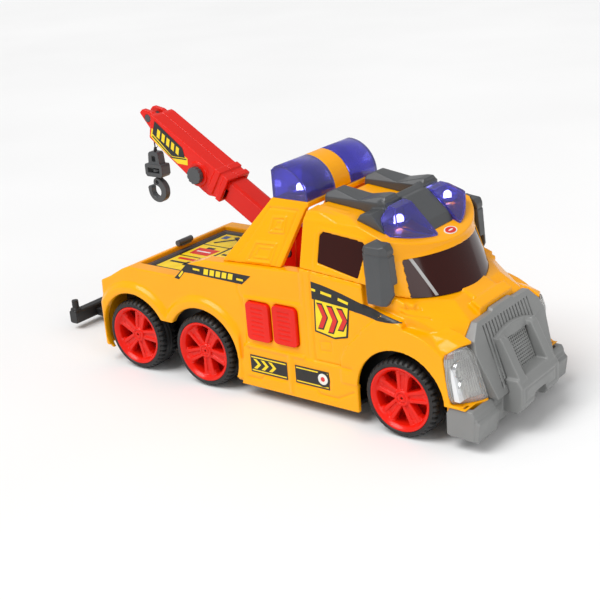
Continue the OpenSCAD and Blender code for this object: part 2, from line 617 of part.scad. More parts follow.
module tyre(x, sgn) color([0.1, 0.1, 0.1]) in_frame() on_side(sgn) translate([x, wheel_in, axle_z])
    rotate([-90, 0, 0]) rotate_extrude($fn = 96) difference() {
        polygon([[rim_barrel_r + 0.02, 0.6], [rim_barrel_r + 2, 0], [tyre_r - 2.2, 0], [tyre_r - 0.6, 1],
            [tyre_r, 2.8], [tyre_r, tyre_w - 2.8], [tyre_r - 0.6, tyre_w - 1], [tyre_r - 2.2, tyre_w],
            [rim_r + 0.2, tyre_w], [rim_r + 0.2, tyre_w - 1.4], [rim_barrel_r + 0.02, tyre_w - 1.4]]);
        translate([tyre_r - 0.7, 6]) square([2, 1.2]);
        translate([tyre_r - 0.7, tyre_w - 7.2]) square([2, 1.2]);
    }
module rim(x, sgn) color("red") in_frame() on_side(sgn) translate([x, wheel_in, axle_z])
    rotate([-90, 0, 0])
    difference() {
        union() {
            rotate_extrude() polygon([[rim_barrel_r - 1.6, 0.8], [rim_barrel_r, 0.8],
                [rim_barrel_r, tyre_w - 1.3], [rim_r, tyre_w - 1.3], [rim_r, tyre_w - 0.3],
                [rim_barrel_r - 0.4, tyre_w - 0.3], [rim_barrel_r - 1.6, tyre_w - 2.5]]);
            translate([0, 0, 4]) cylinder(r = rim_barrel_r - 1, h = 1.6);
            translate([0, 0, 1]) cylinder(r = 4.2, h = tyre_w - 4);
            translate([0, 0, tyre_w - 7]) cylinder(r = 5.8, h = 5);
            for (a = [0 : 72 : 288], s = [-1, 1]) rotate([0, 0, a])
                translate([3, s * 2.2 - 0.9, tyre_w - 6.6])
                cube([rim_barrel_r - 4, 1.8, 4]);
        }
        translate([0, 0, -1]) cylinder(r = axle_r + 0.02, h = tyre_w - 3);
        translate([0, 0, tyre_w - 2.6]) cylinder(r = 2.6, h = 2);
    }
module tyre_rear_right() tyre(axles[0], -1);
module tyre_rear_left() tyre(axles[0], 1);
module tyre_middle_right() tyre(axles[1], -1);
module tyre_middle_left() tyre(axles[1], 1);
module tyre_front_right() tyre(axles[2], -1);
module tyre_front_left() tyre(axles[2], 1);
module rim_rear_right() rim(axles[0], -1);
module rim_rear_left() rim(axles[0], 1);
module rim_middle_right() rim(axles[1], -1);
module rim_middle_left() rim(axles[1], 1);
module rim_front_right() rim(axles[2], -1);
module rim_front_left() rim(axles[2], 1);
module axle(x) color("silver") in_frame() translate([x, 0, axle_z])
    rod(axle_r, -wheel_in - tyre_w + 4.2, wheel_in + tyre_w - 4.2);
module axle_rear() axle(axles[0]);
module axle_middle() axle(axles[1]);
module axle_front() axle(axles[2]);

lower_body();
cab_shell();
tower();
glazing();
grille();
bumper();
headlight_lens_right();
headlight_lens_left();
headlight_reflectors();
side_mirror_right();
side_mirror_left();
roof_housing();
roof_lens_right();
roof_lens_left();
light_bar_bridge();
light_bar_lens_right();
light_bar_lens_left();
lamp_leds();
crane_base();
boom_pivot_pin();
deck_insert();
deck_catch();
chassis();
battery_door();
batteries();
circuit_board();
speaker();
power_switch();
screws();
button_light();
button_sound();
button_board();
left_vents();
tow_arm();
tow_crossbar();
tow_hinge_pin();
inner_boom();
outer_boom_right();
outer_boom_left();
tip_pin();
winch_drum();
winch_knob();
string();
hook_block();
hook();
tyre_rear_right();
tyre_rear_left();
tyre_middle_right();
tyre_middle_left();
tyre_front_right();
tyre_front_left();
rim_rear_right();
rim_rear_left();
rim_middle_right();
rim_middle_left();
rim_front_right();
rim_front_left();
axle_rear();
axle_middle();
axle_front();
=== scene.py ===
import json
import math

import bmesh
import bpy
import numpy as np
from mathutils import Matrix, Vector
from mathutils.bvhtree import BVHTree

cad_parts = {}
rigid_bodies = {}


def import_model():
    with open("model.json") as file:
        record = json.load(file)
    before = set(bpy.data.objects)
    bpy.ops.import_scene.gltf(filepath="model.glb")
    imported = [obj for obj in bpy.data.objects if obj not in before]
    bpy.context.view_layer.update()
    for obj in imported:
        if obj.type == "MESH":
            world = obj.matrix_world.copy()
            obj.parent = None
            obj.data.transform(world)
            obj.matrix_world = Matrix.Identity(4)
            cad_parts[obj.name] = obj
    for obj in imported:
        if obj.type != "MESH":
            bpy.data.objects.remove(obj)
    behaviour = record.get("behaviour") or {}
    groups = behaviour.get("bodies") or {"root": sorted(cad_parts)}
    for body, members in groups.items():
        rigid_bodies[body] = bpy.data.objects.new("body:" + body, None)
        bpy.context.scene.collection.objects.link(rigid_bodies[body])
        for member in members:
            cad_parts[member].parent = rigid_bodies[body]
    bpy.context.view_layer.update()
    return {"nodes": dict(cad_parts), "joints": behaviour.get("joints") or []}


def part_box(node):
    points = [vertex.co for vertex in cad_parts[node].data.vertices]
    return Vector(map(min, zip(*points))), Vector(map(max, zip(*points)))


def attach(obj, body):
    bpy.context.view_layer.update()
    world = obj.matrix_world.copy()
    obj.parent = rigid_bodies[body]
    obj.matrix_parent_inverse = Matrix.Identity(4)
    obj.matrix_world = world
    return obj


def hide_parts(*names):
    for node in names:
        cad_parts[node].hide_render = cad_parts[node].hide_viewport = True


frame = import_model()

MM = 0.001
WELD = 2e-6  # vertices closer than this, in metres, become one
NODES = frame["nodes"]
JOINTS = {j["name"]: j for j in frame["joints"]}
REAR = Vector(JOINTS["wheels_rear_roll"]["pos_m"])
PIVOT = Vector(JOINTS["boom_lift"]["pos_m"])
SLIDE = Vector(JOINTS["boom_extend"]["axis"])
SIDES = {"right": -1, "left": 1}
PLACES = ("rear", "middle", "front")
AXLES = [JOINTS[f"wheels_{k}_roll"]["pos_m"][0] for k in PLACES]
SLOTS = {
    "yellow": "yellow_plastic", "red": "red_plastic", "grey": "grey_plastic",
    "dark": "dark_grey_plastic", "black": "black_plastic",
}


def at(x, y, z):
    """A point in millimetres measured from the rear axle, in the frame."""
    return Vector((REAR.x + x * MM, y * MM, z * MM))


def boom_at(s, y, n):
    """A point in millimetres along and across the crane's arm, in the frame."""
    across = Vector((SLIDE.z, 0, -SLIDE.x))
    return PIVOT + SLIDE * (s * MM) + across * (n * MM) + Vector((0, y * MM, 0))


def around(count):
    """Equal angles round a circle."""
    return np.linspace(0, 2 * math.pi, count + 1)[:-1]


def rect(u0, v0, u1, v1):
    return [(u0, v0), (u1, v0), (u1, v1), (u0, v1)]


# ---- materials ----


def linear(r, g, b):
    """The linear colour of an sRGB colour given as 0 to 255."""
    def one(c):
        c /= 255
        return c / 12.92 if c <= 0.04045 else ((c + 0.055) / 1.055) ** 2.4

    return one(r), one(g), one(b), 1.0


class Graph:
    """A material's nodes, with short names for making and linking them."""

    def __init__(self, name):
        self.material = bpy.data.materials.new(name)
        self.material.use_nodes = True
        self.nodes = self.material.node_tree.nodes
        self.links = self.material.node_tree.links
        self.shader = self.nodes["Principled BSDF"]

    def feed(self, socket, value):
        if isinstance(value, bpy.types.NodeSocket):
            self.links.new(value, socket)
        else:
            socket.default_value = value

    def node(self, kind, settings=(), **inputs):
        """A new node. Inputs go by name, or as i0, i1 and so on by place."""
        n = self.nodes.new(kind)
        for key, value in dict(settings).items():
            setattr(n, key, value)
        for key, value in inputs.items():
            name = int(key[1:]) if key[1:].isdigit() else key.replace("_", " ")
            self.feed(n.inputs[name], value)
        return n

    def place(self):
        return self.node("ShaderNodeTexCoord").outputs["Object"]

    def noise(self, scale, detail=2.0, rough=0.5):
        n = self.node(
            "ShaderNodeTexNoise", Vector=self.place(), Scale=scale, Detail=detail, Roughness=rough
        )
        return n.outputs["Fac"]

    def ramp(self, value, low, high, out_low, out_high):
        n = self.node(
            "ShaderNodeMapRange", Value=value, From_Min=low, From_Max=high,
            To_Min=out_low, To_Max=out_high,
        )
        return n.outputs["Result"]

    def mix(self, share, a, b):
        n = self.node("ShaderNodeMix", {"data_type": "RGBA"}, i0=share, i6=a, i7=b)
        return n.outputs[2]

    def bump(self, height, strength, distance):
        n = self.node("ShaderNodeBump", Height=height, Strength=strength, Distance=distance)
        return n.outputs["Normal"]

    def to(self, **inputs):
        for key, value in inputs.items():
            self.feed(self.shader.inputs[key.replace("_", " ")], value)


def shade(colour, share):
    """The colour made lighter or darker."""
    return tuple(min(1.0, c * share) for c in colour[:3]) + (1.0,)


def plastic(name, colour, rough=0.32, grain=0.00003, grain_scale=1800, wear=0.35, vary=0.1,
            specular=0.5):
    """Moulded plastic: colour drift, fine surface grain, paler worn edges and painted shade in hollows and
    corners.
    """
    g = Graph(name)
    drift = g.ramp(g.noise(22, 3), 0.3, 0.7, 0, 1)
    base = g.mix(drift, shade(colour, 1 - vary), shade(colour, 1 + vary * 0.5))
    edge = g.node("ShaderNodeNewGeometry").outputs["Pointiness"]
    worn = g.node("ShaderNodeMath", {"operation": "MULTIPLY"},
                  i0=g.ramp(edge, 0.53, 0.62, 0, wear), i1=g.noise(160, 4))
    base = g.mix(worn.outputs[0], base, shade(colour, 1.9))
    # Painted shade: where pointiness is low, in hollows, creases and corners, the colour is darkened
    base = g.mix(g.ramp(edge, 0.47, 0.40, 0, 0.45), base, shade(colour, 0.45))
    fine = g.noise(grain_scale, 2)
    gloss = g.ramp(g.noise(60, 4, 0.6), 0.3, 0.7, rough * 0.8, rough * 1.25)
    g.to(Base_Color=base, Roughness=gloss, Specular_IOR_Level=specular)
    g.to(Normal=g.bump(fine, 0.25, grain))
    return g.material


def lens(name, colour, transmission=0.75, rough=0.08, glow=0.0, pitch=900):
    """Tinted clear plastic with a faint moulded ripple."""
    g = Graph(name)
    drift = g.ramp(g.noise(40, 2), 0.3, 0.7, 0, 1)
    base = g.mix(drift, shade(colour, 0.82), shade(colour, 1.12))
    gloss = g.ramp(g.noise(120, 3), 0.3, 0.7, rough * 0.7, rough * 1.5)
    g.to(Base_Color=base, Roughness=gloss, Transmission_Weight=transmission, IOR=1.46)
    g.to(Normal=g.bump(g.noise(pitch, 1), 0.2, 0.00004))
    if glow:
        g.to(Emission_Color=base, Emission_Strength=glow)
    return g.material


def metal(name, colour, rough=0.28):
    """Plain steel with fine drawn lines along it."""
    g = Graph(name)
    lines = g.node("ShaderNodeTexWave", {"bands_direction": "Y"}, Vector=g.place(), Scale=900,
                   Distortion=2.0, Detail=2.0)
    base = g.mix(g.ramp(g.noise(90, 3), 0.3, 0.7, 0, 1), shade(colour, 0.8), shade(colour, 1.1))
    gloss = g.ramp(g.noise(300, 3), 0.3, 0.7, rough * 0.7, rough * 1.4)
    g.to(Base_Color=base, Roughness=gloss, Metallic=1.0)
    g.to(Normal=g.bump(lines.outputs["Fac"], 0.15, 0.00003))
    return g.material


def rubber(name, colour):
    """Moulded tyre rubber, with a random tone drift and a painted sheen: paler colour on its sharp edges.
    """
    g = Graph(name)
    drift = g.ramp(g.noise(70, 4, 0.6), 0.3, 0.7, 0, 1)
    base = g.mix(drift, shade(colour, 0.75), shade(colour, 1.35))
    edge = g.node("ShaderNodeNewGeometry").outputs["Pointiness"]
    # Painted sheen: where pointiness is high, on sharp edges, the colour is made paler
    base = g.mix(g.ramp(edge, 0.52, 0.6, 0, 0.5), base, shade(colour, 2.6))
    gloss = g.ramp(g.noise(200, 3), 0.3, 0.7, 0.42, 0.6)
    g.to(Base_Color=base, Roughness=gloss, Normal=g.bump(g.noise(1400, 3), 0.3, 0.00006))
    return g.material


def printed(name, colour, rough=0.38):
    """A printed sticker film: even ink with a faint screen and scuffs."""
    g = Graph(name)
    drift = g.ramp(g.noise(130, 4, 0.6), 0.3, 0.75, 0, 1)
    base = g.mix(drift, shade(colour, 0.88), shade(colour, 1.1))
    scuff = g.ramp(g.noise(700, 3, 0.7), 0.62, 0.75, 0, 0.25)
    base = g.mix(scuff, base, shade(colour, 1.5))
    gloss = g.ramp(g.noise(300, 2), 0.3, 0.7, rough * 0.8, rough * 1.3)
    g.to(Base_Color=base, Roughness=gloss, Normal=g.bump(g.noise(2500, 1), 0.15, 0.00002))
    return g.material


def lit(name, colour, strength):
    """The bright cap of a lamp."""
    g = Graph(name)
    hot = g.ramp(g.noise(400, 2), 0.3, 0.7, strength * 0.85, strength * 1.15)
    g.to(Base_Color=colour, Roughness=0.2, Emission_Color=colour, Emission_Strength=hot)
    return g.material


YELLOW = linear(253, 170, 0)
RED = linear(226, 28, 12)
M = {
    "yellow": plastic("yellow_abs", YELLOW, rough=0.2, vary=0.05, wear=0.3, specular=0.28),
    "red": plastic("red_abs", RED, rough=0.22, vary=0.07, wear=0.3, specular=0.28),
    "grey": plastic("silver_grey_abs", linear(132, 133, 132),
                    rough=0.36, vary=0.08, wear=0.5, grain=0.00005),
    "dark": plastic("dark_grey_abs", linear(72, 74, 76),
                    rough=0.34, vary=0.1, wear=0.5, grain=0.00005),
    "black": plastic("black_abs", linear(26, 26, 27),
                     rough=0.4, vary=0.15, wear=0.5, grain=0.00005),
    "tint": plastic("window_tint", linear(52, 15, 10),
                    rough=0.1, vary=0.12, wear=0.0, grain=0.00001, specular=0.28),
    "blue": lens("blue_lens", linear(118, 112, 214), transmission=0.86, glow=0.03),
    "clear": lens("clear_lens", linear(236, 236, 234), transmission=0.8, rough=0.1),
    "amber": lens("amber_lens", linear(240, 120, 20), transmission=0.4, rough=0.15),
    "tail": lens("tail_lens", linear(215, 20, 18), transmission=0.35, rough=0.15),
    "satin": plastic("lamp_silver", linear(226, 228, 230),
                     rough=0.3, vary=0.06, wear=0.0, specular=0.9),
    # Dark grey that shows in the headlight flute valleys: painted shade
    "groove": plastic("lamp_flute_shade", linear(92, 94, 98),
                      rough=0.4, vary=0.06, wear=0.0, specular=0.4),
    "chrome": metal("reflector", linear(225, 226, 228), rough=0.16),
    "steel": metal("steel", linear(170, 172, 175)),
    "tyre": rubber("tyre_rubber", linear(24, 24, 25)),
    "board": plastic("board_laminate", linear(22, 92, 48), rough=0.4, vary=0.2),
    "cell": plastic("cell_wrap", linear(186, 132, 40), rough=0.35, vary=0.2),
    "cord": plastic("cord_fibre", linear(40, 40, 42),
                    rough=0.7, vary=0.3, grain=0.0001, grain_scale=2600),
    "led": lit("lamp_glow", (0.85, 0.88, 1.0, 1.0), 14.0),
    "ink": printed("ink_black", linear(24, 24, 24)),
    "ink_yellow": printed("ink_yellow", linear(250, 214, 20)),
    "ink_red": printed("ink_red", linear(214, 34, 26)),
    "ink_white": printed("ink_white", linear(232, 232, 226)),
    "ink_blue": printed("ink_blue", linear(44, 80, 150)),
    "silver_film": printed("silver_film", linear(170, 170, 170), rough=0.3),
}


def dress(obj, material, slot=None):
    obj.data.materials.clear()
    obj.data.materials.append(M[material])


def fit(obj, material, slot=None, body="truck", node=None):
    """Dresses a piece, sets it riding on its body, and lets it stand for a CAD node."""
    dress(obj, material, slot)
    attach(obj, body)
    if node:
        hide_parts(node)
    return obj


# ---- mesh making ----


def link(name, data):
    obj = bpy.data.objects.new(name, data)
    bpy.context.scene.collection.objects.link(obj)
    return obj


def mesh_object(name, verts, faces, smooth=False):
    data = bpy.data.meshes.new(name)
    data.from_pydata([tuple(v) for v in verts], [], [tuple(f) for f in faces])
    data.validate()
    obj = link(name, data)
    bm = bmesh.new()
    bm.from_mesh(data)
    bmesh.ops.recalc_face_normals(bm, faces=bm.faces)
    bm.to_mesh(data)
    bm.free()
    for p in data.polygons:
        p.use_smooth = smooth
    return obj


class Shells:
    """Closed shells gathered into one mesh."""

    def __init__(self):
        self.verts, self.faces = [], []

    def add(self, verts, faces):
        start = len(self.verts)
        self.verts += [Vector(v) for v in verts]
        self.faces += [[start + i for i in f] for f in faces]
        return self

    def loft(self, rings, closed=False):
        """Joins rings of equal count, with flat caps unless the last ring meets the first."""
        n, k = len(rings[0]), len(rings)
        faces = []
        for a in range(k if closed else k - 1):
            b = (a + 1) % k
            for i in range(n):
                j = (i + 1) % n
                faces.append((a * n + i, a * n + j, b * n + j, b * n + i))
        if not closed:
            faces += [tuple(range(n))[::-1], tuple(range((k - 1) * n, k * n))]
        return self.add([v for r in rings for v in r], faces)

    def slab(self, outline, y0, y1):
        """An outline in X and Z, between two places in Y, in millimetres from the rear axle."""
        return self.loft([[at(x, y, z) for x, z in outline] for y in (y0, y1)])

    def cad(self, node):
        """A CAD node's own mesh."""
        mesh = NODES[node].data
        return self.add([v.co for v in mesh.vertices], [list(p.vertices) for p in mesh.polygons])

    def mirrored(self):
        """Adds the mirror image across the truck's centre plane."""
        start = len(self.verts)
        self.verts += [Vector((v.x, -v.y, v.z)) for v in self.verts]
        self.faces += [[start + i for i in reversed(f)] for f in self.faces]
        return self

    def object(self, name, smooth=False):
        obj = mesh_object(name, self.verts, self.faces, smooth)
        bm = bmesh.new()
        bm.from_mesh(obj.data)
        bmesh.ops.remove_doubles(bm, verts=bm.verts, dist=WELD)
        bm.to_mesh(obj.data)
        bm.free()
        return obj


def settle(obj):
    """Turns the object's modifiers into its mesh."""
    graph = bpy.context.evaluated_depsgraph_get()
    data = bpy.data.meshes.new_from_object(obj.evaluated_get(graph))
    obj.modifiers.clear()
    obj.data = data
    return obj


def remesh(obj, voxel, passes):
    """One skin round all the shells, with moulded edges."""
    m = obj.modifiers.new("skin", "REMESH")
    m.mode, m.voxel_size, m.use_smooth_shade = "VOXEL", voxel * MM, True
    s = obj.modifiers.new("round", "SMOOTH")
    s.factor, s.iterations = 0.5, passes
    return settle(obj)


def lean(obj, ratio):
    """Fewer faces, smooth shaded."""
    m = obj.modifiers.new("lean", "DECIMATE")
    m.ratio = ratio
    settle(obj)
    for p in obj.data.polygons:
        p.use_smooth = True
    return obj


def points(obj):
    """The places and normals of the object's vertices, as two arrays."""
    co = np.empty(len(obj.data.vertices) * 3)
    obj.data.vertices.foreach_get("co", co)
    no = np.empty(len(obj.data.vertices) * 3)
    obj.data.vertex_normals.foreach_get("vector", no)
    return co.reshape(-1, 3), no.reshape(-1, 3)


def truck_mm(co):
    """Coordinates in millimetres from the rear axle."""
    return (co[:, 0] - REAR.x) / MM, co[:, 1] / MM, co[:, 2] / MM


def near_line(u, v, a, b):
    """Distance in the plane from each point to the line from a to b."""
    a, b = np.array(a, float), np.array(b, float)
    d = b - a
    t = np.clip(((u - a[0]) * d[0] + (v - a[1]) * d[1]) / (d @ d), 0, 1)
    return np.hypot(u - a[0] - t * d[0], v - a[1] - t * d[1])


def near_path(u, v, path):
    return np.minimum.reduce([near_line(u, v, a, b) for a, b in zip(path, path[1:])])


def dent(distance, width):
    """1 on the line, falling smoothly to 0 at the width."""
    t = np.clip(1 - distance / width, 0, 1)
    return t * t * (3 - 2 * t)


def in_box(u, v, u0, u1, v0, v1, soft):
    """1 inside a rectangle, falling smoothly to 0 over soft outside it."""
    d = np.maximum(np.maximum(u0 - u, u - u1), np.maximum(v0 - v, v - v1))
    return dent(np.maximum(d, 0), soft)


def bevelled(node, material, width=0.5, angle=32, slot=None):
    """A CAD node kept as it is, with its sharp edges rounded."""
    obj = NODES[node]
    dress(obj, material, slot)
    w = obj.modifiers.new("weld", "WELD")
    w.merge_threshold = WELD
    d = obj.modifiers.new("flat", "DECIMATE")
    d.decimate_type, d.angle_limit = "DISSOLVE", math.radians(0.6)
    b = obj.modifiers.new("edge", "BEVEL")
    b.width, b.segments, b.limit_method = width * MM, 2, "ANGLE"
    b.angle_limit, b.harden_normals = math.radians(angle), True
    b.use_clamp_overlap = True
    return obj


def moulded(node, material, voxel, passes, ratio, body="truck", extra=None, shape=None, name=None):
    """A CAD node's shape as a moulded skin, with more parts joined on or vertices moved."""
    s = Shells().cad(node)
    if extra:
        extra(s)
    obj = remesh(s.object(name or f"{node}_skin"), voxel, passes)
    if shape:
        co, no = points(obj)
        shape(co, no)
        obj.data.vertices.foreach_set("co", co.ravel())
        obj.data.update()
    return fit(lean(obj, ratio), material, SLOTS[material], body, node)


# ---- yellow body ----

# Half widths in millimetres: the doors, the skirt, and the least that counts as an outer wall
SIDE_Y, SKIRT_Y, WALL_OUT = 54.5, 55.2, 52.4


def body_extra(s):
    """The bonnet's raised middle and flare, the cowl, the brow and the lip round the headlight."""
    s.slab([(215.5, 77), (217.4, 81.4), (229, 80.1), (243.2, 73.2), (243.3, 64), (225, 70)],
           -12.6, 12.6)
    s.slab([(234, 72), (237.4, 76.9), (243.2, 73.4), (243.3, 62)], -18.6, 18.6)
    # The cowl under the windscreen's corner
    s.loft([[at(x, y, z) for y, z in ((38, 72), (out, 72), (out, top), (38, top + 0.3))]
            for x, out, top in (
                (188, 47.6, 89.4), (200, 47.6, 85.5), (212, 47.6, 81.3), (217, 46.8, 79.8))])
    # The fender's brow over the headlight
    s.loft([[at(x, y, z) for x, z in ring] for y, ring in (
        (39.5, ((231, 68), (242, 66.2), (250, 61.8), (249.6, 60.2), (238, 58))),
        (47, ((228, 65), (239, 64), (247, 61.2), (246.2, 60), (236, 58))),
        (53, ((226, 60), (234, 60.4), (242, 58.2), (241.6, 57), (234, 56))),
    )])
    # The lip under the headlight, down to the bumper
    rings = []
    for y in (34.8, 38, 42, 46, 49, 51.5, 53):
        lip = max(lamp_x(y, LAMP_LOW) + 0.7, 250.6)
        rings.append([at(x, y, z) for x, z in (
            (240, 20), (lip - 1.9, 20), (lip - 0.3, 25.9), (lip, 27.5), (240, 27.6))])
    s.loft(rings)
    # The rib between the two skirt stickers
    s.slab([(130.4, 11), (130.4, 34.4), (133.2, 34.4), (132, 11)], SKIRT_Y - 2, SKIRT_Y + 0.9)
    s.mirrored()


def body_shape(co, no):
    """Panel lines of the doors, skirt, tail and bonnet, as grooves and ribs."""
    x, y, z = truck_mm(co)
    ay = np.abs(y)
    out = (ay > WALL_OUT) & (np.abs(no[:, 1]) > 0.6)
    lines = (
        # Depth, width and path: the door and its top, a seam, a crease by the buttons, a hatch
        (0.75, 1.1, ((150.7, 92.4), (150.7, 36.2), (177.5, 36.2))),
        (0.5, 1.0, ((151, 92.4), (187, 88.6))),
        (0.35, 0.9, ((146.2, 92), (146.2, 37.5))),
        (0.55, 1.3, ((84, 79.4), (92.1, 77.5), (93.9, 68.2), (98.1, 59.2), (99.2, 46), (99.4, 34))),
        (0.5, 0.9, ((155.2, 49.2), (163.4, 50), (163.2, 44), (155.4, 43.4), (155.2, 49.2))),
    )
    depth = sum(deep * dent(near_path(x, z, path), width) for deep, width, path in lines)
    # Skirt: a shallow field round each sticker, and a stepped groove under each
    skirt = ay > SIDE_Y - 0.1
    field = sum(in_box(x, z, x0, x1, 18.4, 30.4, 0.9) for x0, x1 in ((99.4, 128.6), (134.6, 160.5)))
    depth += 0.45 * np.clip(field, 0, 1) * skirt
    rear = [(97, 14.6), (107, 14.6), (110, 17.6), (127, 17.6)]
    front = [(135.5, 17.6), (150, 17.6), (153, 14.6), (166, 14.6), (178, 21)]
    low = np.minimum(near_path(x, z, rear), near_path(x, z, front))
    depth += 0.7 * dent(low, 1.2) * skirt
    co[:, 1] -= np.sign(y) * depth * MM * out
    # Tail wall: a sunk border, and two ribs above the towing arm
    border = [(-46, 30), (-46, 60), (46, 60), (46, 30), (-46, 30)]
    back = (no[:, 0] < -0.6) & (x < -20)
    ribs = np.minimum(*(near_line(y, z, (-32, h), (32, h)) for h in (32.5, 28.5)))
    co[:, 0] += (0.6 * dent(near_path(y, z, border), 1.2) + 0.5 * dent(ribs, 1.0)) * MM * back
    # Bonnet sides: a stepped line from the cowl to the grille
    hood = (ay > 43) & (ay < 53) & (x > 207) & (x < 238.5) & (z > 66)
    line = [(210.5, 78.4), (235.6, 74), (236.2, 70.8), (222.6, 72.6), (210.5, 75.6)]
    co[:, 1] -= np.sign(y) * 0.6 * dent(near_path(x, z, line), 1.0) * MM * hood
    co[:, 2] -= 0.4 * dent(near_path(x, z, line), 1.0) * MM * hood


def cab_extra(s):
    """The roof's rounded rear corners."""
    s.loft([[at(x, y, z) for y, z in (
        (34, top - 8), (46.4, top - 8), (46.3, 121), (41.4 + 2.3 * full, 123.6 + 2.3 * full),
        (36, top), (34, top))]
        for x, top, full in (
            (143.2, 125.2, 0.6), (146, 126.8, 1), (152, 126.9, 1), (168, 125.2, 0.1))])
    s.mirrored()


def cab_shape(co, no):
    """A raised frame round each side window, and a line across the roof near its rear edge."""
    x, y, z = truck_mm(co)
    ay = np.abs(y)
    frame_line = [(153.6, 96), (153.6, 114), (157, 117.2), (187, 114.8), (190, 111), (186, 91.2)]
    side = (ay > 43) & (np.abs(no[:, 1]) > 0.6) & (x < 192)
    co[:, 1] += np.sign(y) * 0.35 * dent(near_path(x, z, frame_line), 1.6) * MM * side
    roof = (no[:, 2] > 0.6) & (z > 118)
    co[:, 2] -= 0.4 * dent(np.abs(x - 147.2), 0.9) * MM * roof


def tower_shape(co, no):
    """Two raised frames on each leaning side, and grooves along its edges."""
    x, y, z = truck_mm(co)
    side_y = 52.6 - (z - 80) * 15.6 / 47.9
    out = (np.abs(y) > side_y - 1.2) & (np.abs(no[:, 1]) > 0.5) & (z < 123)
    high = [(116.3, 117.2), (125.6, 118), (125, 109.4), (114.6, 108.8), (116.3, 117.2)]
    high_in = [(119, 115.2), (123.2, 115.5), (122.8, 111.4), (118, 111.2), (119, 115.2)]
    low = [(105.3, 101.6), (120.6, 102.2), (117.4, 91), (99.6, 90), (105.3, 101.6)]
    low_in = [(108, 99), (117.6, 99.4), (115.8, 93.4), (104.8, 92.9), (108, 99)]
    front = [(112.6, 122), (133.5, 122.4), (126.6, 104), (121.6, 90.2)]
    rear = [(112.6, 122), (104, 109), (93, 93)]
    rise = np.zeros(len(co))
    for path, height, width in (
            (high, 0.8, 1.3), (high_in, 0.6, 1.0), (low, 0.8, 1.3), (low_in, 0.6, 1.0)):
        rise = np.maximum(rise, height * dent(near_path(x, z, path), width))
    rise -= 0.5 * dent(near_path(x, z, front), 1.1) + 0.35 * dent(near_path(x, z, rear), 1.1)
    co[:, 1] += np.sign(y) * rise * MM * out


def yellow_parts():
    moulded("lower_body", "yellow", 0.62, 7, 0.3, "truck", body_extra, body_shape, "body_skin")
    moulded("cab_shell", "yellow", 0.55, 6, 0.3, "truck", cab_extra, cab_shape, "cab_skin")
    moulded("tower", "yellow", 0.5, 5, 0.35, shape=tower_shape)


# ---- wheels ----

TYRE_W = 18.0
WHEEL_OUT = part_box("tyre_front_left")[1].y / MM
WHEEL_IN = WHEEL_OUT - TYRE_W


def tyre_mesh():
    """A tyre round the Y axis, its outer face at +Y, with lugs staggered on its shoulders."""
    ring = [
        (18.6, 0.9), (19.6, 0.4), (20.8, 0.25), (22.0, 0.5), (22.9, 1.1), (23.5, 1.9), (23.85, 2.9),
        (24.0, 3.9), (24.1, 5.0), (24.15, 5.9), (24.15, 6.4), (24.2, 7.4), (24.2, 8.2), (24.2, 8.9),
        (24.2, 9.1), (24.2, 9.8), (24.2, 10.6), (24.15, 11.6), (24.15, 12.1), (24.1, 13.0),
        (24.0, 14.1), (23.85, 15.1), (23.5, 16.1), (22.9, 16.9), (22.3, 17.4), (21.7, 17.75), (21.2, 17.55),
        (20.8, 17.85), (20.25, 17.8), (20.15, 16.9), (18.7, 16.5),
    ]
    count = 320
    lugs = 40
    prof = np.array(ring)
    verts, faces = [], []
    for i in range(count):
        a = 2 * math.pi * i / count
        phase = (i * lugs / count) % 1.0
        for r, w in prof:
            cut = 0.0
            if r > 22.6:
                outer = w > 9
                p = (phase + (0.5 if outer else 0.0)) % 1.0
                edge = abs(w - 9)
                slot_w = 0.17 if edge > 3.4 else 0.0
                if min(p, 1 - p) < slot_w:
                    cut = 1.15 * min(1.0, (edge - 3.0) / 1.2)
                if abs(edge - 2.9) < 0.35 or edge < 0.15:
                    cut = max(cut, 0.75)
            rr = r - cut
            verts.append((math.cos(a) * rr * MM, (w + WHEEL_IN) * MM, math.sin(a) * rr * MM))
    n = len(prof)
    for i in range(count):
        j = (i + 1) % count
        for k in range(n):
            m = (k + 1) % n
            faces.append((i * n + k, i * n + m, j * n + m, j * n + k))
    return verts, faces


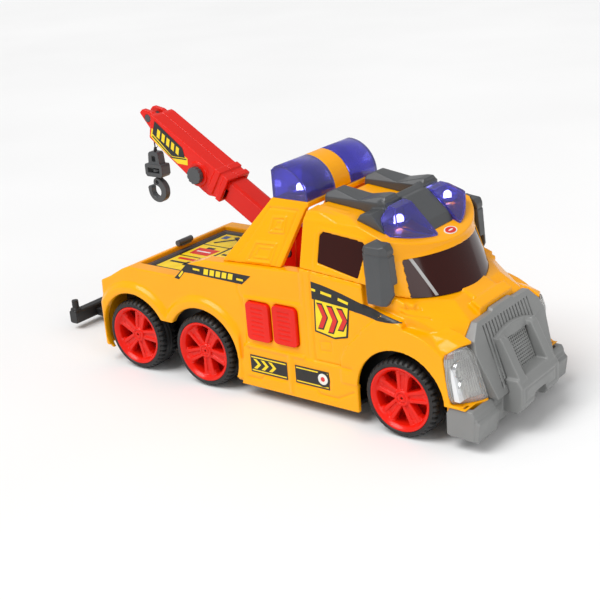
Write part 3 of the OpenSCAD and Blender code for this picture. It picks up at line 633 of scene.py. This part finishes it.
def rim_shells():
    """A five-spoke rim round the Y axis, its outer face at +Y."""
    s = Shells()

    def turned(profile, count=96):
        """A closed profile of (radius, Y from the wheel's inner face) turned round the Y axis."""
        rings = []
        for i in range(count):
            c, d = math.cos(2 * math.pi * i / count), math.sin(2 * math.pi * i / count)
            rings.append([Vector((c * r * MM, (w + WHEEL_IN) * MM, d * r * MM))
                          for r, w in profile])
        s.loft(rings, closed=True)

    # Barrel, back plate, hub and cap
    turned([(16.9, 0.8), (18.5, 0.8), (18.5, 16.7), (20.0, 16.7), (20.0, 17.7), (18.9, 17.7),
            (17.6, 16.4), (16.9, 15.3)])
    turned([(1.55, 3.6), (17.5, 3.6), (17.5, 5.2), (11.6, 5.2), (11.2, 6.4), (9.2, 6.4),
            (8.8, 5.2), (1.55, 5.2)])
    turned([(1.55, 1.0), (4.9, 1.0), (4.9, 15.2), (4.4, 15.8), (3.4, 15.8), (3.1, 14.9),
            (1.55, 14.9)])
    turned([(0.8, 14.3), (2.6, 14.3), (2.6, 15.5), (2.2, 15.8), (1.2, 15.8), (0.8, 15.4)], 48)

    def bar(angle, r0, r1, o0, o1, half0, half1, low0, low1, top0, top1):
        """A tapered bar from r0 to r1, offset to the side by o0 then o1."""
        c, d = math.cos(angle), math.sin(angle)

        def p(r, o, y):
            return Vector(((r * c - o * d) * MM, (y + WHEEL_IN) * MM, (r * d + o * c) * MM))

        ends = (r0, o0, half0, low0, top0), (r1, o1, half1, low1, top1)
        s.loft([[p(r, u, y) for u, y in rect(o - half, low, o + half, top)]
                for r, o, half, low, top in ends])

    for k in range(5):
        a = 2 * math.pi * k / 5 + math.radians(90)
        bar(a, 3.2, 17.6, 0, 0, 3.0, 4.4, 9.4, 9.4, 14.0, 13.9)
        for side in (-1, 1):
            bar(a, 3.6, 17.6, side * 2.0, side * 3.3, 0.95, 1.35, 12, 11, 14.9, 15.2)
            bar(a, 13.6, 17.6, side * 3.8, side * 5.4, 0.8, 0.9, 10, 10, 14.2, 14.8)
        bar(a, 14.2, 17.6, 0, 0, 3.4, 4.0, 12, 12, 14.3, 14.9)
        bar(a, 8.6, 10.4, 0, 0, 1.6, 1.8, 12, 12, 14.1, 14.1)
        b = a + math.radians(36)
        bar(b, 12.4, 16.9, 0, 0, 1.1, 1.6, 4.6, 4.6, 8.4, 8.4)
    return s


def wheels():
    tyre = mesh_object("tyre_form", *tyre_mesh(), smooth=True)
    rim = lean(remesh(rim_shells().object("rim_form"), 0.34, 3), 0.28)
    for place, x, angle in zip(PLACES, AXLES, (14, 31, 4)):
        turn = (Matrix.Translation(Vector((x, 0, REAR.z)))
                @ Matrix.Rotation(math.radians(angle), 4, "Y"))
        for side, sgn in SIDES.items():
            flip = Matrix.Rotation(math.pi, 4, "Z") if sgn < 0 else Matrix.Identity(4)
            for form, kind, material, slot in (
                    (tyre, "tyre", "tyre", "tyre"), (rim, "rim", "red", "red_plastic")):
                data = form.data.copy()
                data.transform(turn @ flip)
                node = f"{kind}_{place}_{side}"
                fit(link(f"{node}_look", data), material, slot, f"wheels_{place}", node)
    bpy.data.objects.remove(tyre)
    bpy.data.objects.remove(rim)
    for place in PLACES:
        bevelled(f"axle_{place}", "steel", 0.2)


# ---- decals: thin printed films on flat faces ----


def film(name, shapes, y, material, thick=0.16, body="truck", base=0.25, place=at):
    """Flat shapes in X and Z as a film on each side, standing thick proud of |Y| = y."""
    s = Shells()
    for outline in shapes:
        for sgn in (-1, 1):
            lo, hi = sorted((sgn * (y - base), sgn * (y + thick)))
            s.loft([[place(u, w, v) for u, v in outline] for w in (lo, hi)])
    fit(mesh_object(name, s.verts, s.faces), material, None, body)


def strip(a, b, width):
    """A straight dash from a to b."""
    d = Vector((b[0] - a[0], b[1] - a[1])).normalized()
    u, v = -d.y * width / 2, d.x * width / 2
    return [(a[0] + u, a[1] + v), (b[0] + u, b[1] + v), (b[0] - u, b[1] - v), (a[0] - u, a[1] - v)]


def chevron(x, z, w, h, t):
    """An arrow head pointing forward, as one outline."""
    top, low = z + h / 2, z - h / 2
    return [(x, top), (x + t, top), (x + w + t, z), (x + t, low), (x, low), (x + w, z)]


def disc(x, z, r):
    return [(x + r * math.cos(t), z + r * math.sin(t)) for t in around(32)]


def side_decals():
    # Strip along the bed, rising over the hump
    hump_y = 53.5
    film("bed_strip", [
        [(40.3, 71.0), (52.4, 82.2), (55.5, 82.2), (58, 76.4), (49.6, 76.2), (44.2, 70.6)],
        [(55.4, 82.2), (104.6, 81.9), (97.2, 75.6), (58, 76.3)],
    ], hump_y, "ink")
    marks = [strip((44.6, 72.6), (48.4, 76.6), 1.4), strip((57.4, 79.6), (63, 79.5), 1.3),
             strip((93.2, 78.4), (98.4, 78.3), 1.3)]
    for x in (66, 71, 76, 81, 86):
        marks.append([(x, 77.3), (x + 3.6, 77.3), (x + 4.6, 81.1), (x + 1, 81.1)])
    film("bed_strip_marks", marks, hump_y, "ink_yellow", 0.24)

    # Door: a road running forward, which road_tip carries on, and a striped shield
    film("door_road", [[
        (151.6, 86.4), (160, 85.2), (172, 82.6), (182, 79.85),
        (182, 72.7), (176, 73.4), (166, 74.6), (151.6, 75.6),
    ]], SIDE_Y, "ink")
    dash = [strip((151.8, 81.6), (154.6, 81.2), 1.5), strip((158.4, 80.8), (166, 79.6), 1.7),
            strip((170.6, 78.6), (177.6, 76.9), 1.7)]
    film("door_road_marks", dash, SIDE_Y, "ink_yellow", 0.24)
    film("door_shield_edge", [[
        (153, 76.6), (178.4, 74.8), (176.4, 58.4), (176, 55.4), (166.5, 52.9), (152.2, 55.2),
    ]], SIDE_Y, "ink", 0.2)
    film("door_shield", [[
        (154, 75.6), (177.3, 73.9), (175.2, 58.8), (174.8, 56.3), (166.4, 54), (153.2, 56.2),
    ]], SIDE_Y, "ink_yellow", 0.26)
    arrows, edges = [], []
    for x, low, high in ((155.4, 58, 73.4), (162.6, 56.6, 72.8), (169.8, 59.4, 72.4)):
        mid = (low + high) / 2
        edge = chevron(x - 0.7, mid, 3.8, high - low + 1.2, 4.2)
        arrow = chevron(x, mid, 3.4, high - low - 0.6, 3.0)
        # The shield's rim cuts the arrows off
        edges.append([(min(u, 176.8), v) for u, v in edge])
        arrows.append([(min(u, 176.2), v) for u, v in arrow])
    film("door_arrow_edges", edges, SIDE_Y, "ink", 0.32)
    film("door_arrows", arrows, SIDE_Y, "ink_red", 0.4)

    # Skirt: two black strips with yellow borders, arrows and a ring
    field_y = SKIRT_Y - 0.45
    spans = ((99.6, 128.4), (134.8, 160.2))
    film("skirt_strips", [[(x0, 18.6), (x0, 30.2), (x1, 30.2), (x1, 18.6)] for x0, x1 in spans],
         field_y, "ink")
    lines = []
    for x0, x1 in spans:
        for z in (19.6, 28.4):
            lines.append([(x0 + 0.8, z), (x0 + 0.8, z + 0.8), (x1 - 0.8, z + 0.8), (x1 - 0.8, z)])
    lines += [chevron(x, 24.4, 3.4, 6.4, 2.6) for x in (101.8, 107.8, 113.8)]
    film("skirt_marks", lines, field_y, "ink_yellow", 0.24)
    for part, r, material, thick in (("disc", 5.2, "ink", 0.3), ("ring", 3.6, "ink_white", 0.38),
                                     ("dot", 3.6 * 0.42, "ink_red", 0.46)):
        film(f"skirt_{part}", [disc(155.6, 25, r)], field_y, material, thick)


def surface(name):
    """A piece's surface, for casting rays on."""
    graph = bpy.context.evaluated_depsgraph_get()
    return BVHTree.FromObject(bpy.data.objects[name], graph)


def drape(name, tree, rows, direction, lift, sink, material, passes=0):
    """A closed patch laid on a surface: rows of start points are cast along a direction."""
    reach = np.array([[tree.ray_cast(p, direction)[3] for p in row] for row in rows], float)
    k, n = reach.shape
    for _ in range(passes):
        wide = np.pad(reach, 1, mode="edge")
        mean = sum(wide[i:i + k, j:j + n] for i in range(3) for j in range(3)) / 9
        reach = np.minimum(reach, mean)
    verts = [p + direction * (reach[i, j] + h * MM)
             for h in (-lift, sink) for i, row in enumerate(rows) for j, p in enumerate(row)]
    m = k * n
    faces = []
    for i in range(k - 1):
        for j in range(n - 1):
            a = i * n + j
            faces += [(a, a + n, a + n + 1, a + 1), (m + a, m + a + 1, m + a + n + 1, m + a + n)]
    edge = [i * n for i in range(k)] + [(k - 1) * n + j for j in range(1, n)]
    edge += [i * n + n - 1 for i in range(k - 2, -1, -1)] + list(range(n - 2, 0, -1))
    faces += [(a, b, m + b, m + a) for a, b in zip(edge, edge[1:] + edge[:1])]
    fit(mesh_object(name, verts, faces), material)


def road_tip():
    """The forward point of the road, draped over the fender and cowl."""
    skin = surface("body_skin")
    along = (181.6, 186, 192, 198, 204, 209, 213.6)
    top = list(zip(along, (79.9, 78.7, 77, 75.4, 73.9, 72.7, 71.6)))
    low = list(zip(along, (72.6, 72.2, 71.2, 70.6, 70.5, 70.9, 71.3)))
    columns, across = 26, 7
    for side, sgn in SIDES.items():
        rows = []
        for t in np.linspace(0, len(top) - 1, columns):
            k = min(int(t), len(top) - 2)
            hi = Vector(top[k]).lerp(Vector(top[k + 1]), t - k)
            lo = Vector(low[k]).lerp(Vector(low[k + 1]), t - k)
            ends = [lo.lerp(hi, j / (across - 1)) for j in range(across)]
            rows.append([at(p.x, sgn * 62, p.y) for p in ends])
        drape(f"road_tip_{side}", skin, rows, Vector((0, -sgn, 0)), 0.16, 0.3, "ink", 6)


def tail_wall():
    """Tail lights, an amber lamp beside each, and a blank plate between them."""
    skin = surface("body_skin")

    def panel(name, y0, y1, z0, z1, lift, material):
        heights = np.linspace(z0, z1, 9)
        rows = [[at(-60, y, z) for z in heights] for y in np.linspace(y0, y1, 9)]
        drape(name, skin, rows, Vector((1, 0, 0)), lift, 0.5, material)

    for side, sgn in SIDES.items():
        panel(f"tail_light_{side}", *sorted((sgn * 41.5, sgn * 51.2)), 47.8, 56.6, 0.9, "tail")
        panel(f"tail_amber_{side}", *sorted((sgn * 35.2, sgn * 40.9)), 47.8, 56.6, 0.8, "amber")
    panel("tail_plate_edge", -15, 15, 36.6, 47.4, 0.5, "ink")
    panel("tail_plate", -14, 14, 37.6, 46.4, 0.62, "silver_film")


# ---- front ----


LAMP_LOW, LAMP_TOP = 27.7, 60
FLUTES = 13


def grille_extra(s):
    """Short cross bars on both outer panels."""
    for y in np.arange(-25.5, 25.6, 3.4):
        if abs(y) > 14.5:
            for k in range(16):
                t = 0.06 + k * 0.058
                x, z = 246.0 + t * 13.2, 63.5 - t * 31
                bar = [(x - 2.2, z), (x + 0.9, z + 0.1), (x + 1.3, z - 0.7), (x - 2, z - 0.8)]
                s.slab(bar, y - 0.75, y + 0.75)


def grille_mesh():
    """The fine mesh panel in the middle of the grille."""
    s = Shells()
    for y in np.arange(-12, 12.1, 2.0):
        s.slab([(250.2, 56.4), (252.4, 57.2), (261.2, 34.4), (259, 33.6)], y - 0.32, y + 0.32)
    for k in range(13):
        t = (k + 0.5) / 13
        x, z = 251.2 + t * 9.0, 56.4 - t * 22.6
        top, low = z + 0.35, z - 0.35
        s.slab([(x - 0.7, top), (x + 1.0, top), (x + 1.2, low), (x - 0.6, low)], -13, 13)
    fit(s.object("grille_mesh"), "grey", "grey_plastic")


def bumper_extra(s):
    """The guard's two posts and the arch over them."""
    post = [(262.9, 26.3), (252.6, 55.2), (254.6, 57), (258, 55.6), (269.4, 33), (268.9, 26.3)]
    for y0, y1 in ((-20.5, -13.4), (13.4, 20.5)):
        s.slab(post, y0, y1)
    rings = []
    for y in np.linspace(-20.5, 20.5, 15):
        crown = 56.6 + 3.4 * math.cos(math.pi * y / 41)
        rings.append([at(x, y, z) for x, z in (
            (250.6, 53.4), (250.2, crown), (253.6, crown + 0.2), (255.6, 53.6))])
    s.loft(rings)


def bumper_shape(co, no):
    """Grooves along and across both ends, and a sunk border in the middle."""
    _, y, z = truck_mm(co)
    ay = np.abs(y)
    end = (ay > 22.5) & (no[:, 0] > 0.6)
    co[:, 0] -= 0.6 * dent(np.abs(z - 20.3), 1.0) * MM * end
    co[:, 0] -= 0.5 * dent(np.abs(ay - 31), 1.0) * MM * end
    face = (ay < 20) & (no[:, 0] > 0.5) & (z < 34)
    box = in_box(y, z, -18.6, 18.6, 20.5, 28.4, 0.9)
    rim = in_box(y, z, -17.4, 17.4, 21.7, 27.2, 0.9)
    co[:, 0] -= 0.4 * np.clip(box - rim, 0, 1) * MM * face


def front_parts():
    moulded("grille", "grey", 0.42, 1, 0.4, extra=grille_extra)
    grille_mesh()
    moulded("bumper", "grey", 0.55, 4, 0.35, extra=bumper_extra, shape=bumper_shape)
    # Headlights: fluted clear covers over silver bowls, with painted shade in the flute valleys and amber
    # corners
    for side, sgn in SIDES.items():
        def patch(name, material, slot, *shape, **waves):
            return fit(lamp_patch(f"headlight_{name}", sgn, *shape, **waves), material, slot)

        cover = patch(f"lens_{side}_look", "clear", "clear_lens", LAMP_LOW, LAMP_TOP, 0, 1, 0, 1.2,
                      104, 30, flute=0.26)
        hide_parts(f"headlight_lens_{side}")
        patch(f"bowl_{side}", "satin", "reflector", 28.2, 59, 0.03, 0.97, 2.6, 1.0,
              104, 20, flute=0.24, depth=2.2)
        # A dark patch just behind the bowl's face, showing through its flute valleys as painted shade
        patch(f"grooves_{side}", "groove", "reflector", 28.4, 58.8, 0.04, 0.96, 2.66, 0.7,
              40, 20, depth=2.2)
        patch(f"amber_top_{side}", "amber", None, 54.6, 58.2, 0.74, 0.96, 1.5, 0.7, 12, 4)
        patch(f"amber_low_{side}", "amber", None, 28.2, 30.2, 0.08, 0.9, 1.5, 0.7, 12, 4)
        s = Shells()
        for z, r in ((48.0, 4.8), (36.4, 5.2)):
            lo, hi = lamp_edges(z)
            y = lo + (hi - lo) * 0.55
            back = lamp_x(y, z) - 4.6
            s.loft([[at(back + dx, sgn * (y + r1 * math.cos(t)), z + r1 * math.sin(t))
                     for t in around(36)]
                    for r1, dx in ((1.2, 0.2), (r * 0.55, 0.5), (r * 0.85, 1.3), (r, 2.4),
                                   (r + 0.5, 2.5), (r + 0.5, -0.4))])
        fit(s.object(f"headlight_dish_{side}", smooth=True), "chrome", "reflector")
    bevelled("headlight_reflectors", "satin", 0.2)


def lamp_edges(z):
    """The headlight's inner and outer edge in |Y| at a height."""
    inner = np.interp(z, (27.6, 54, 57, 60.2), (35.2, 40.5, 41.4, 44))
    outer = np.interp(z, (27.6, 30, 33, 50, 55, 58, 60.2),
                      (52.3, 54.3, 55.2, 55.5, 54.6, 52.4, 47.5))
    return float(inner), float(outer)


def lamp_x(y, z):
    """How far forward the headlight's cover stands at |Y| = y and a height."""
    inner, outer = lamp_edges(z)
    u = min(1.0, max(0.0, (y - inner) / (outer - inner)))
    front_x = float(np.interp(z, (27.6, 54, 60.2), (256.4, 251.6, 248.8)))
    rear_x = float(np.interp(z, (27.6, 43, 57, 60.2), (244.6, 242.4, 242.2, 244.4)))
    return rear_x + (front_x - rear_x) * (1 - u ** 1.7)


def lamp_patch(name, sgn, z0, z1, u0, u1, sunk, thick, across, up, flute=0.0, depth=0.0):
    """A closed patch following the headlight's face, set back from it, fluted or hollowed.

    u runs from the inner edge, 0, to the outer edge, 1. across and up count the faces.
    """
    front, rear = [], []
    for k in range(up + 1):
        z = z0 + (z1 - z0) * k / up
        inner, outer = lamp_edges(z)
        for i in range(across + 1):
            u = u0 + (u1 - u0) * i / across
            y = inner + (outer - inner) * u
            x = lamp_x(y, z) - sunk + flute * math.cos(2 * math.pi * u * FLUTES)
            x -= depth * math.sin(math.pi * u) * math.sin(math.pi * k / up)
            front.append(at(x, sgn * y, z))
            rear.append(at(x - thick, sgn * y, z))
    n, m = len(front), across + 1
    faces = []
    for k in range(up):
        for i in range(across):
            a = k * m + i
            faces += [(a, a + 1, a + m + 1, a + m), (n + a, n + a + m, n + a + m + 1, n + a + 1)]
    edge = list(range(m)) + [k * m + across for k in range(1, up + 1)]
    edge += [up * m + i for i in range(across - 1, -1, -1)] + [k * m for k in range(up - 1, 0, -1)]
    faces += [(a, n + a, n + b, b) for a, b in zip(edge, edge[1:] + edge[:1])]
    return mesh_object(name, front + rear, faces, smooth=True)


def badge():
    """A plain oval badge laid on the visor."""
    hit, normal, _, _ = surface("cab_skin").ray_cast(at(214, 0, 140), Vector((0, 0, -1)))
    across = Vector((0, 1, 0))
    up = normal.cross(across).normalized()
    for name, size, flat, lift, material in (
            ("white", 1.0, 1, 0.25, "ink_white"), ("red", 0.82, 1, 0.36, "ink_red"),
            ("band", 0.42, 0.4, 0.46, "ink_white")):
        half_w, half_h = 5.6 * size * MM, 3.2 * size * flat * MM
        rings = [[hit + across * (half_w * math.cos(t)) + up * (half_h * math.sin(t))
                  + normal * (h * MM) for t in around(40)] for h in (-0.8, lift)]
        fit(Shells().loft(rings).object(f"visor_badge_{name}"), material)


def windows():
    dress(NODES["glazing"], "tint", "window_tint")
    # Silver strip down the windscreen, following its curve
    radius, leaned = 65.3, math.radians(22.4)
    rows = []
    for i in range(15):
        t = i / 14
        z = 103.4 - 22.6 * t
        row = []
        for e in (-0.85, 0.85):
            y = -35.6 + 6.4 * t + e
            c = math.sqrt(radius ** 2 - y ** 2)
            h = (z - 78 - c * math.sin(leaned)) / math.cos(leaned)
            x = 159.7 + c * math.cos(leaned) - h * math.sin(leaned)
            row.append((x, y, z))
        rows.append(row)
    verts = []
    for lift in (0.2, -0.3):
        verts += [at(x + lift * 0.9, y, z + lift * 0.38) for row in rows for x, y, z in row]
    n = len(rows) * 2
    faces = []
    for i in range(len(rows) - 1):
        a = i * 2
        faces += [(a, a + 2, a + 3, a + 1), (n + a, n + a + 1, n + a + 3, n + a + 2)]
        faces += [(a, n + a, n + a + 2, a + 2), (a + 1, a + 3, n + a + 3, n + a + 1)]
    faces += [(0, 1, n + 1, n), (n - 2, 2 * n - 2, 2 * n - 1, n - 1)]
    fit(mesh_object("screen_strip", verts, faces), "silver_film")


# ---- roof and light bar ----


def mirror_shape(co, no):
    """A groove round the mirror's housing."""
    x, _, z = truck_mm(co)
    outward = np.abs(no[:, 1]) + np.abs(no[:, 0]) > 0.5
    groove = 0.45 * dent(np.abs(z - 108.6 + (x - 197) * 0.06), 0.9) * outward
    co -= no * (groove * MM)[:, None]


def lamps():
    moulded("roof_housing", "dark", 0.45, 4, 0.35)
    moulded("light_bar_bridge", "yellow", 0.4, 3, 0.35)
    for side in SIDES:
        for kind in ("light_bar_lens", "roof_lens"):
            bevelled(f"{kind}_{side}", "blue", 0.5, 35, "blue_lens")
        moulded(f"side_mirror_{side}", "dark", 0.4, 4, 0.4, shape=mirror_shape)
    dress(NODES["lamp_leds"], "led", "led")
    # A silver dish round each lamp inside its lens
    s = Shells()
    for x, y, z, wide in ((124, 22, 128.6, 1), (196, 26, 117.9, 0.7)):
        s.loft([[at(x + r * math.cos(t) * wide, y + r * math.sin(t), z + dz) for t in around(32)]
                for r, dz in ((2.7, 0.2), (4.2, 0.5), (6.0, 1.6), (7.2, 3.2), (7.8, 3.2),
                              (7.0, 0.3), (6.0, -0.2))])
    fit(s.mirrored().object("lamp_dishes", smooth=True), "chrome", "reflector")


# ---- bed ----


# Generic drawings for the panels, as outlines about a panel's middle, by ink
DRAWINGS = (
    # Spanner and bar
    {"tools": [[(-9, -1.3), (5, -1.3), (5, 1.3), (-9, 1.3)],
               [(4, -3.4), (9.4, -3.6), (9.4, -1.2), (6.6, -1), (6.6, 1), (9.4, 1.2), (9.4, 3.6),
                (4, 3.4)]],
     "reds": [rect(-8, 5.4, 8, 8.6)]},
    # Toolbox
    {"tools": [rect(-3.4, 5, 3.4, 8)], "whites": [rect(-6, -2, 6, -0.2)],
     "reds": [[(-8, -7), (8, -7), (9.4, 5), (-9.4, 5)]]},
    # Hammer
    {"tools": [[(-8, -6.4), (-6, -8), (5, 4.4), (3, 6)],
               [(-1, 7.6), (7.6, 1), (10, 3.6), (1.6, 10)]],
     "blues": [rect(-9, 2.4, -4, 8.4)]},
    # Hazard stripes
    {"reds": [[(x, -8), (x + 2.3, -8), (x + 4.6, 8), (x + 2.3, 8)] for x in (-8.6, -4, 0.6, 5.2)],
     "whites": [rect(-8, -10.4, 8, -9.2)]},
)


def bed():
    for node in ("deck_insert", "deck_catch"):
        bevelled(node, "dark", 0.4, slot="dark_grey_plastic")
    # The stickers lie in the insert's sunk floor
    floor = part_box("deck_insert")[1].z / MM - 0.7

    def sheet(name, shapes, material, lift):
        s = Shells()
        for outline in shapes:
            s.loft([[at(x, y, h) for x, y in outline] for h in (floor - 0.2, floor + lift)])
        fit(mesh_object(f"deck_{name}", s.verts, s.faces), material)

    sheet("film", [rect(4.5, -38, 77.5, 38)], "ink", 0.14)
    panels = []
    drawn = {"tools": [], "reds": [], "whites": [], "blues": []}
    for i, (x0, x1) in enumerate(((7, 30), (32, 54), (56, 76))):
        for j, (y0, y1) in enumerate(((-36, -13), (-11.5, 11.5), (13, 36))):
            panels.append(rect(x0, y0, x1, y1))
            cx, cy = (x0 + x1) / 2, (y0 + y1) / 2
            for ink, outlines in DRAWINGS[(i * 3 + j) % 4].items():
                drawn[ink] += [[(cx + x, cy + y) for x, y in outline] for outline in outlines]
    sheet("panels", panels, "ink_yellow", 0.2)
    sheet("tools", drawn["tools"], "ink", 0.27)
    sheet("reds", drawn["reds"], "ink_red", 0.27)
    sheet("whites", drawn["whites"], "ink_white", 0.33)
    sheet("blues", drawn["blues"], "ink_blue", 0.27)


# ---- crane, hook and towing arm ----


def crane():
    moulded("crane_base", "red", 0.6, 2, 0.35)
    moulded("inner_boom", "red", 0.5, 2, 0.35, "boom")
    for side in SIDES:
        moulded(f"outer_boom_{side}", "red", 0.42, 2, 0.4, "boom_sleeve")
    for node in ("boom_pivot_pin", "tip_pin", "winch_drum"):
        bevelled(node, "dark", 0.25)
    moulded("winch_knob", "dark", 0.3, 2, 0.5, "winch")

    def sticker(name, shapes, material, thick):
        film(f"sleeve_{name}", shapes, 10.2, material, thick, "boom_sleeve", 0.2, boom_at)

    # A black field with slanted bars over a yellow wedge, on both sides of the sleeve
    sticker("wedge", [[
        (130.4, -5.4), (131.6, 0.4), (97, 0.4), (95, -3.6), (103, -7.9), (122, -7.2),
    ]], "ink_yellow", 0.14)
    sticker("field", [[(131.4, 6.4), (129.6, -2.6), (109, -6.2), (99, -0.4), (103.8, 4.4)]],
            "ink", 0.2)
    bars = []
    for x in (127, 122.4, 117.8, 113.2, 108.6):
        drop = (129 - x) * 0.03
        bars.append([(x, 3.2 - drop), (x - 2.8, 3.1 - drop), (x - 4.2, -2.4), (x - 1.4, -2.2)])
    sticker("bars", bars, "ink_yellow", 0.28)
    edge = [strip((129, -4.2), (108.8, -7.2), 0.8), strip((108.8, -7.2), (97.6, -0.6), 0.8)]
    sticker("edge", edge, "ink", 0.24)


def twisted(name, x, z0, z1, radius, body):
    """A cord of three strands laid round each other, as one closed ribbed tube."""
    turns_per_mm, step = 0.28, 0.3
    rings = []
    steps = int((z1 - z0) / step)
    for i in range(steps + 1):
        z = z0 + (z1 - z0) * i / steps
        ring = []
        for k in range(18):
            a = 2 * math.pi * k / 18
            lobe = abs(math.cos(1.5 * (a - 2 * math.pi * turns_per_mm * z)))
            r = radius * (0.76 + 0.24 * lobe)
            ring.append(at(x + r * math.cos(a), r * math.sin(a), z))
        rings.append(ring)
    return fit(Shells().loft(rings).object(name, smooth=True), "cord", "cord", body)


def knot(x, block_top):
    """Three turns of the cord and its short end, on top of the hook block."""
    s = Shells()
    for turn, (dz, r) in enumerate(((0.7, 1.15), (1.6, 1.0), (2.4, 0.8))):
        tube = []
        for i in range(24):
            a = 2 * math.pi * i / 24
            out = Vector((math.cos(a), math.sin(a), 0))
            c = at(x, 0, block_top + dz + 0.35 * math.sin(a + turn)) + out * (r * 0.8 * MM)
            tube.append([c + (out * math.cos(b) + Vector((0, 0, math.sin(b)))) * (0.42 * MM)
                         for b in around(8)])
        s.loft(tube, closed=True)
    thin = 0.28
    s.loft([[at(x + 0.8 + 0.9 * t + thin * math.cos(b), 0.5 * t + thin * math.sin(b),
                block_top + 1.6 + 1.6 * t) for b in around(8)] for t in (0, 0.5, 1.0, 1.4)])
    fit(s.object("string_knot", smooth=True), "cord", "cord", "hook_block")


def hook_parts():
    lo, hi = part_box("string")
    x = ((lo.x + hi.x) / 2 - REAR.x) / MM
    top = hi.z / MM
    block_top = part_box("hook_block")[1].z / MM
    upper = twisted("string_upper", x, block_top + 0.3, top - 0.1, 0.5, "string")
    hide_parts("string")
    # The lower length runs with the block, so that the cord stays whole as the block goes down
    twisted("string_lower", x, block_top - 1.2, top - 1.2, 0.44, "hook_block")
    knot(x, block_top)
    moulded("hook_block", "dark", 0.26, 3, 0.5, "hook_block")
    moulded("hook", "dark", 0.26, 9, 0.5, "hook")


def small_parts():
    for node in ("tow_crossbar", "tow_arm"):
        moulded(node, "black", 0.4, 3, 0.4, "tow_arm")
    for node in ("button_light", "button_sound"):
        moulded(node, "red", 0.32, 2, 0.4, node)
    moulded("left_vents", "red", 0.32, 2, 0.4)
    for node, material in {
            "chassis": "black", "battery_door": "black", "power_switch": "black",
            "speaker": "steel", "batteries": "cell", "circuit_board": "board",
            "button_board": "board", "screws": "steel", "tow_hinge_pin": "steel"}.items():
        bevelled(node, material, 0.25)


# ---- stage ----


def look_at(eye, target, roll=0.0):
    back = (eye - target).normalized()
    right = Vector((0, 0, 1)).cross(back).normalized()
    up = back.cross(right)
    r = right * math.cos(roll) + up * math.sin(roll)
    u = up * math.cos(roll) - right * math.sin(roll)
    m = Matrix((r, u, back)).transposed().to_4x4()
    m.translation = eye
    return m


def camera():
    """The camera, from the truck's front right and above, tilted slightly."""
    target = Vector((0.0592, -0.05648, 0.07428))
    az, el, distance = math.radians(39.135), math.radians(20.56), 0.72986
    roll = math.radians(-4.688)
    back = Vector((math.sin(az) * math.cos(el), -math.cos(az) * math.cos(el), math.sin(el)))
    data = bpy.data.cameras.new("camera")
    data.sensor_width, data.lens = 36, 74.616
    data.clip_start, data.clip_end = 0.01, 20
    obj = link("camera", data)
    obj.matrix_world = look_at(target + back * distance, target, roll)
    bpy.context.scene.camera = obj


def stage():
    """A pale floor under a soft overhead sun, with a weak fill from the front."""
    world = bpy.data.worlds.new("studio")
    bpy.context.scene.world = world
    world.use_nodes = True
    sky = world.node_tree.nodes["Background"]
    sky.inputs["Color"].default_value = (1, 1, 1, 1)
    sky.inputs["Strength"].default_value = 0.5
    half = 40
    corners = [(-half, -half, 0), (half, -half, 0), (half, half, 0), (-half, half, 0)]
    floor = mesh_object("floor", corners, [(0, 1, 2, 3)])
    g = Graph("floor_paper")
    tone = g.ramp(g.noise(3, 2), 0.3, 0.7, 0.0, 1.0)
    g.to(Base_Color=g.mix(tone, (0.86, 0.86, 0.86, 1), (0.9, 0.9, 0.9, 1)), Roughness=0.75)
    floor.data.materials.append(g.material)
    sun = bpy.data.lights.new("key", "SUN")
    sun.energy, sun.angle = 2.2, math.radians(38)
    key = link("key", sun)
    key.matrix_world = look_at(Vector((-0.4, -0.9, 1.5)), Vector((0, 0, 0)))
    panel = bpy.data.lights.new("fill", "AREA")
    panel.shape, panel.size, panel.energy = "SQUARE", 0.7, 4.0
    fill = link("fill", panel)
    fill.matrix_world = look_at(Vector((1.3, -0.45, 0.7)), Vector((0.1, 0, 0.06)))
    bpy.context.scene.view_settings.view_transform = "Standard"


camera()
stage()
yellow_parts()
windows()
badge()
front_parts()
lamps()
bed()
side_decals()
road_tip()
tail_wall()
crane()
hook_parts()
wheels()
small_parts()
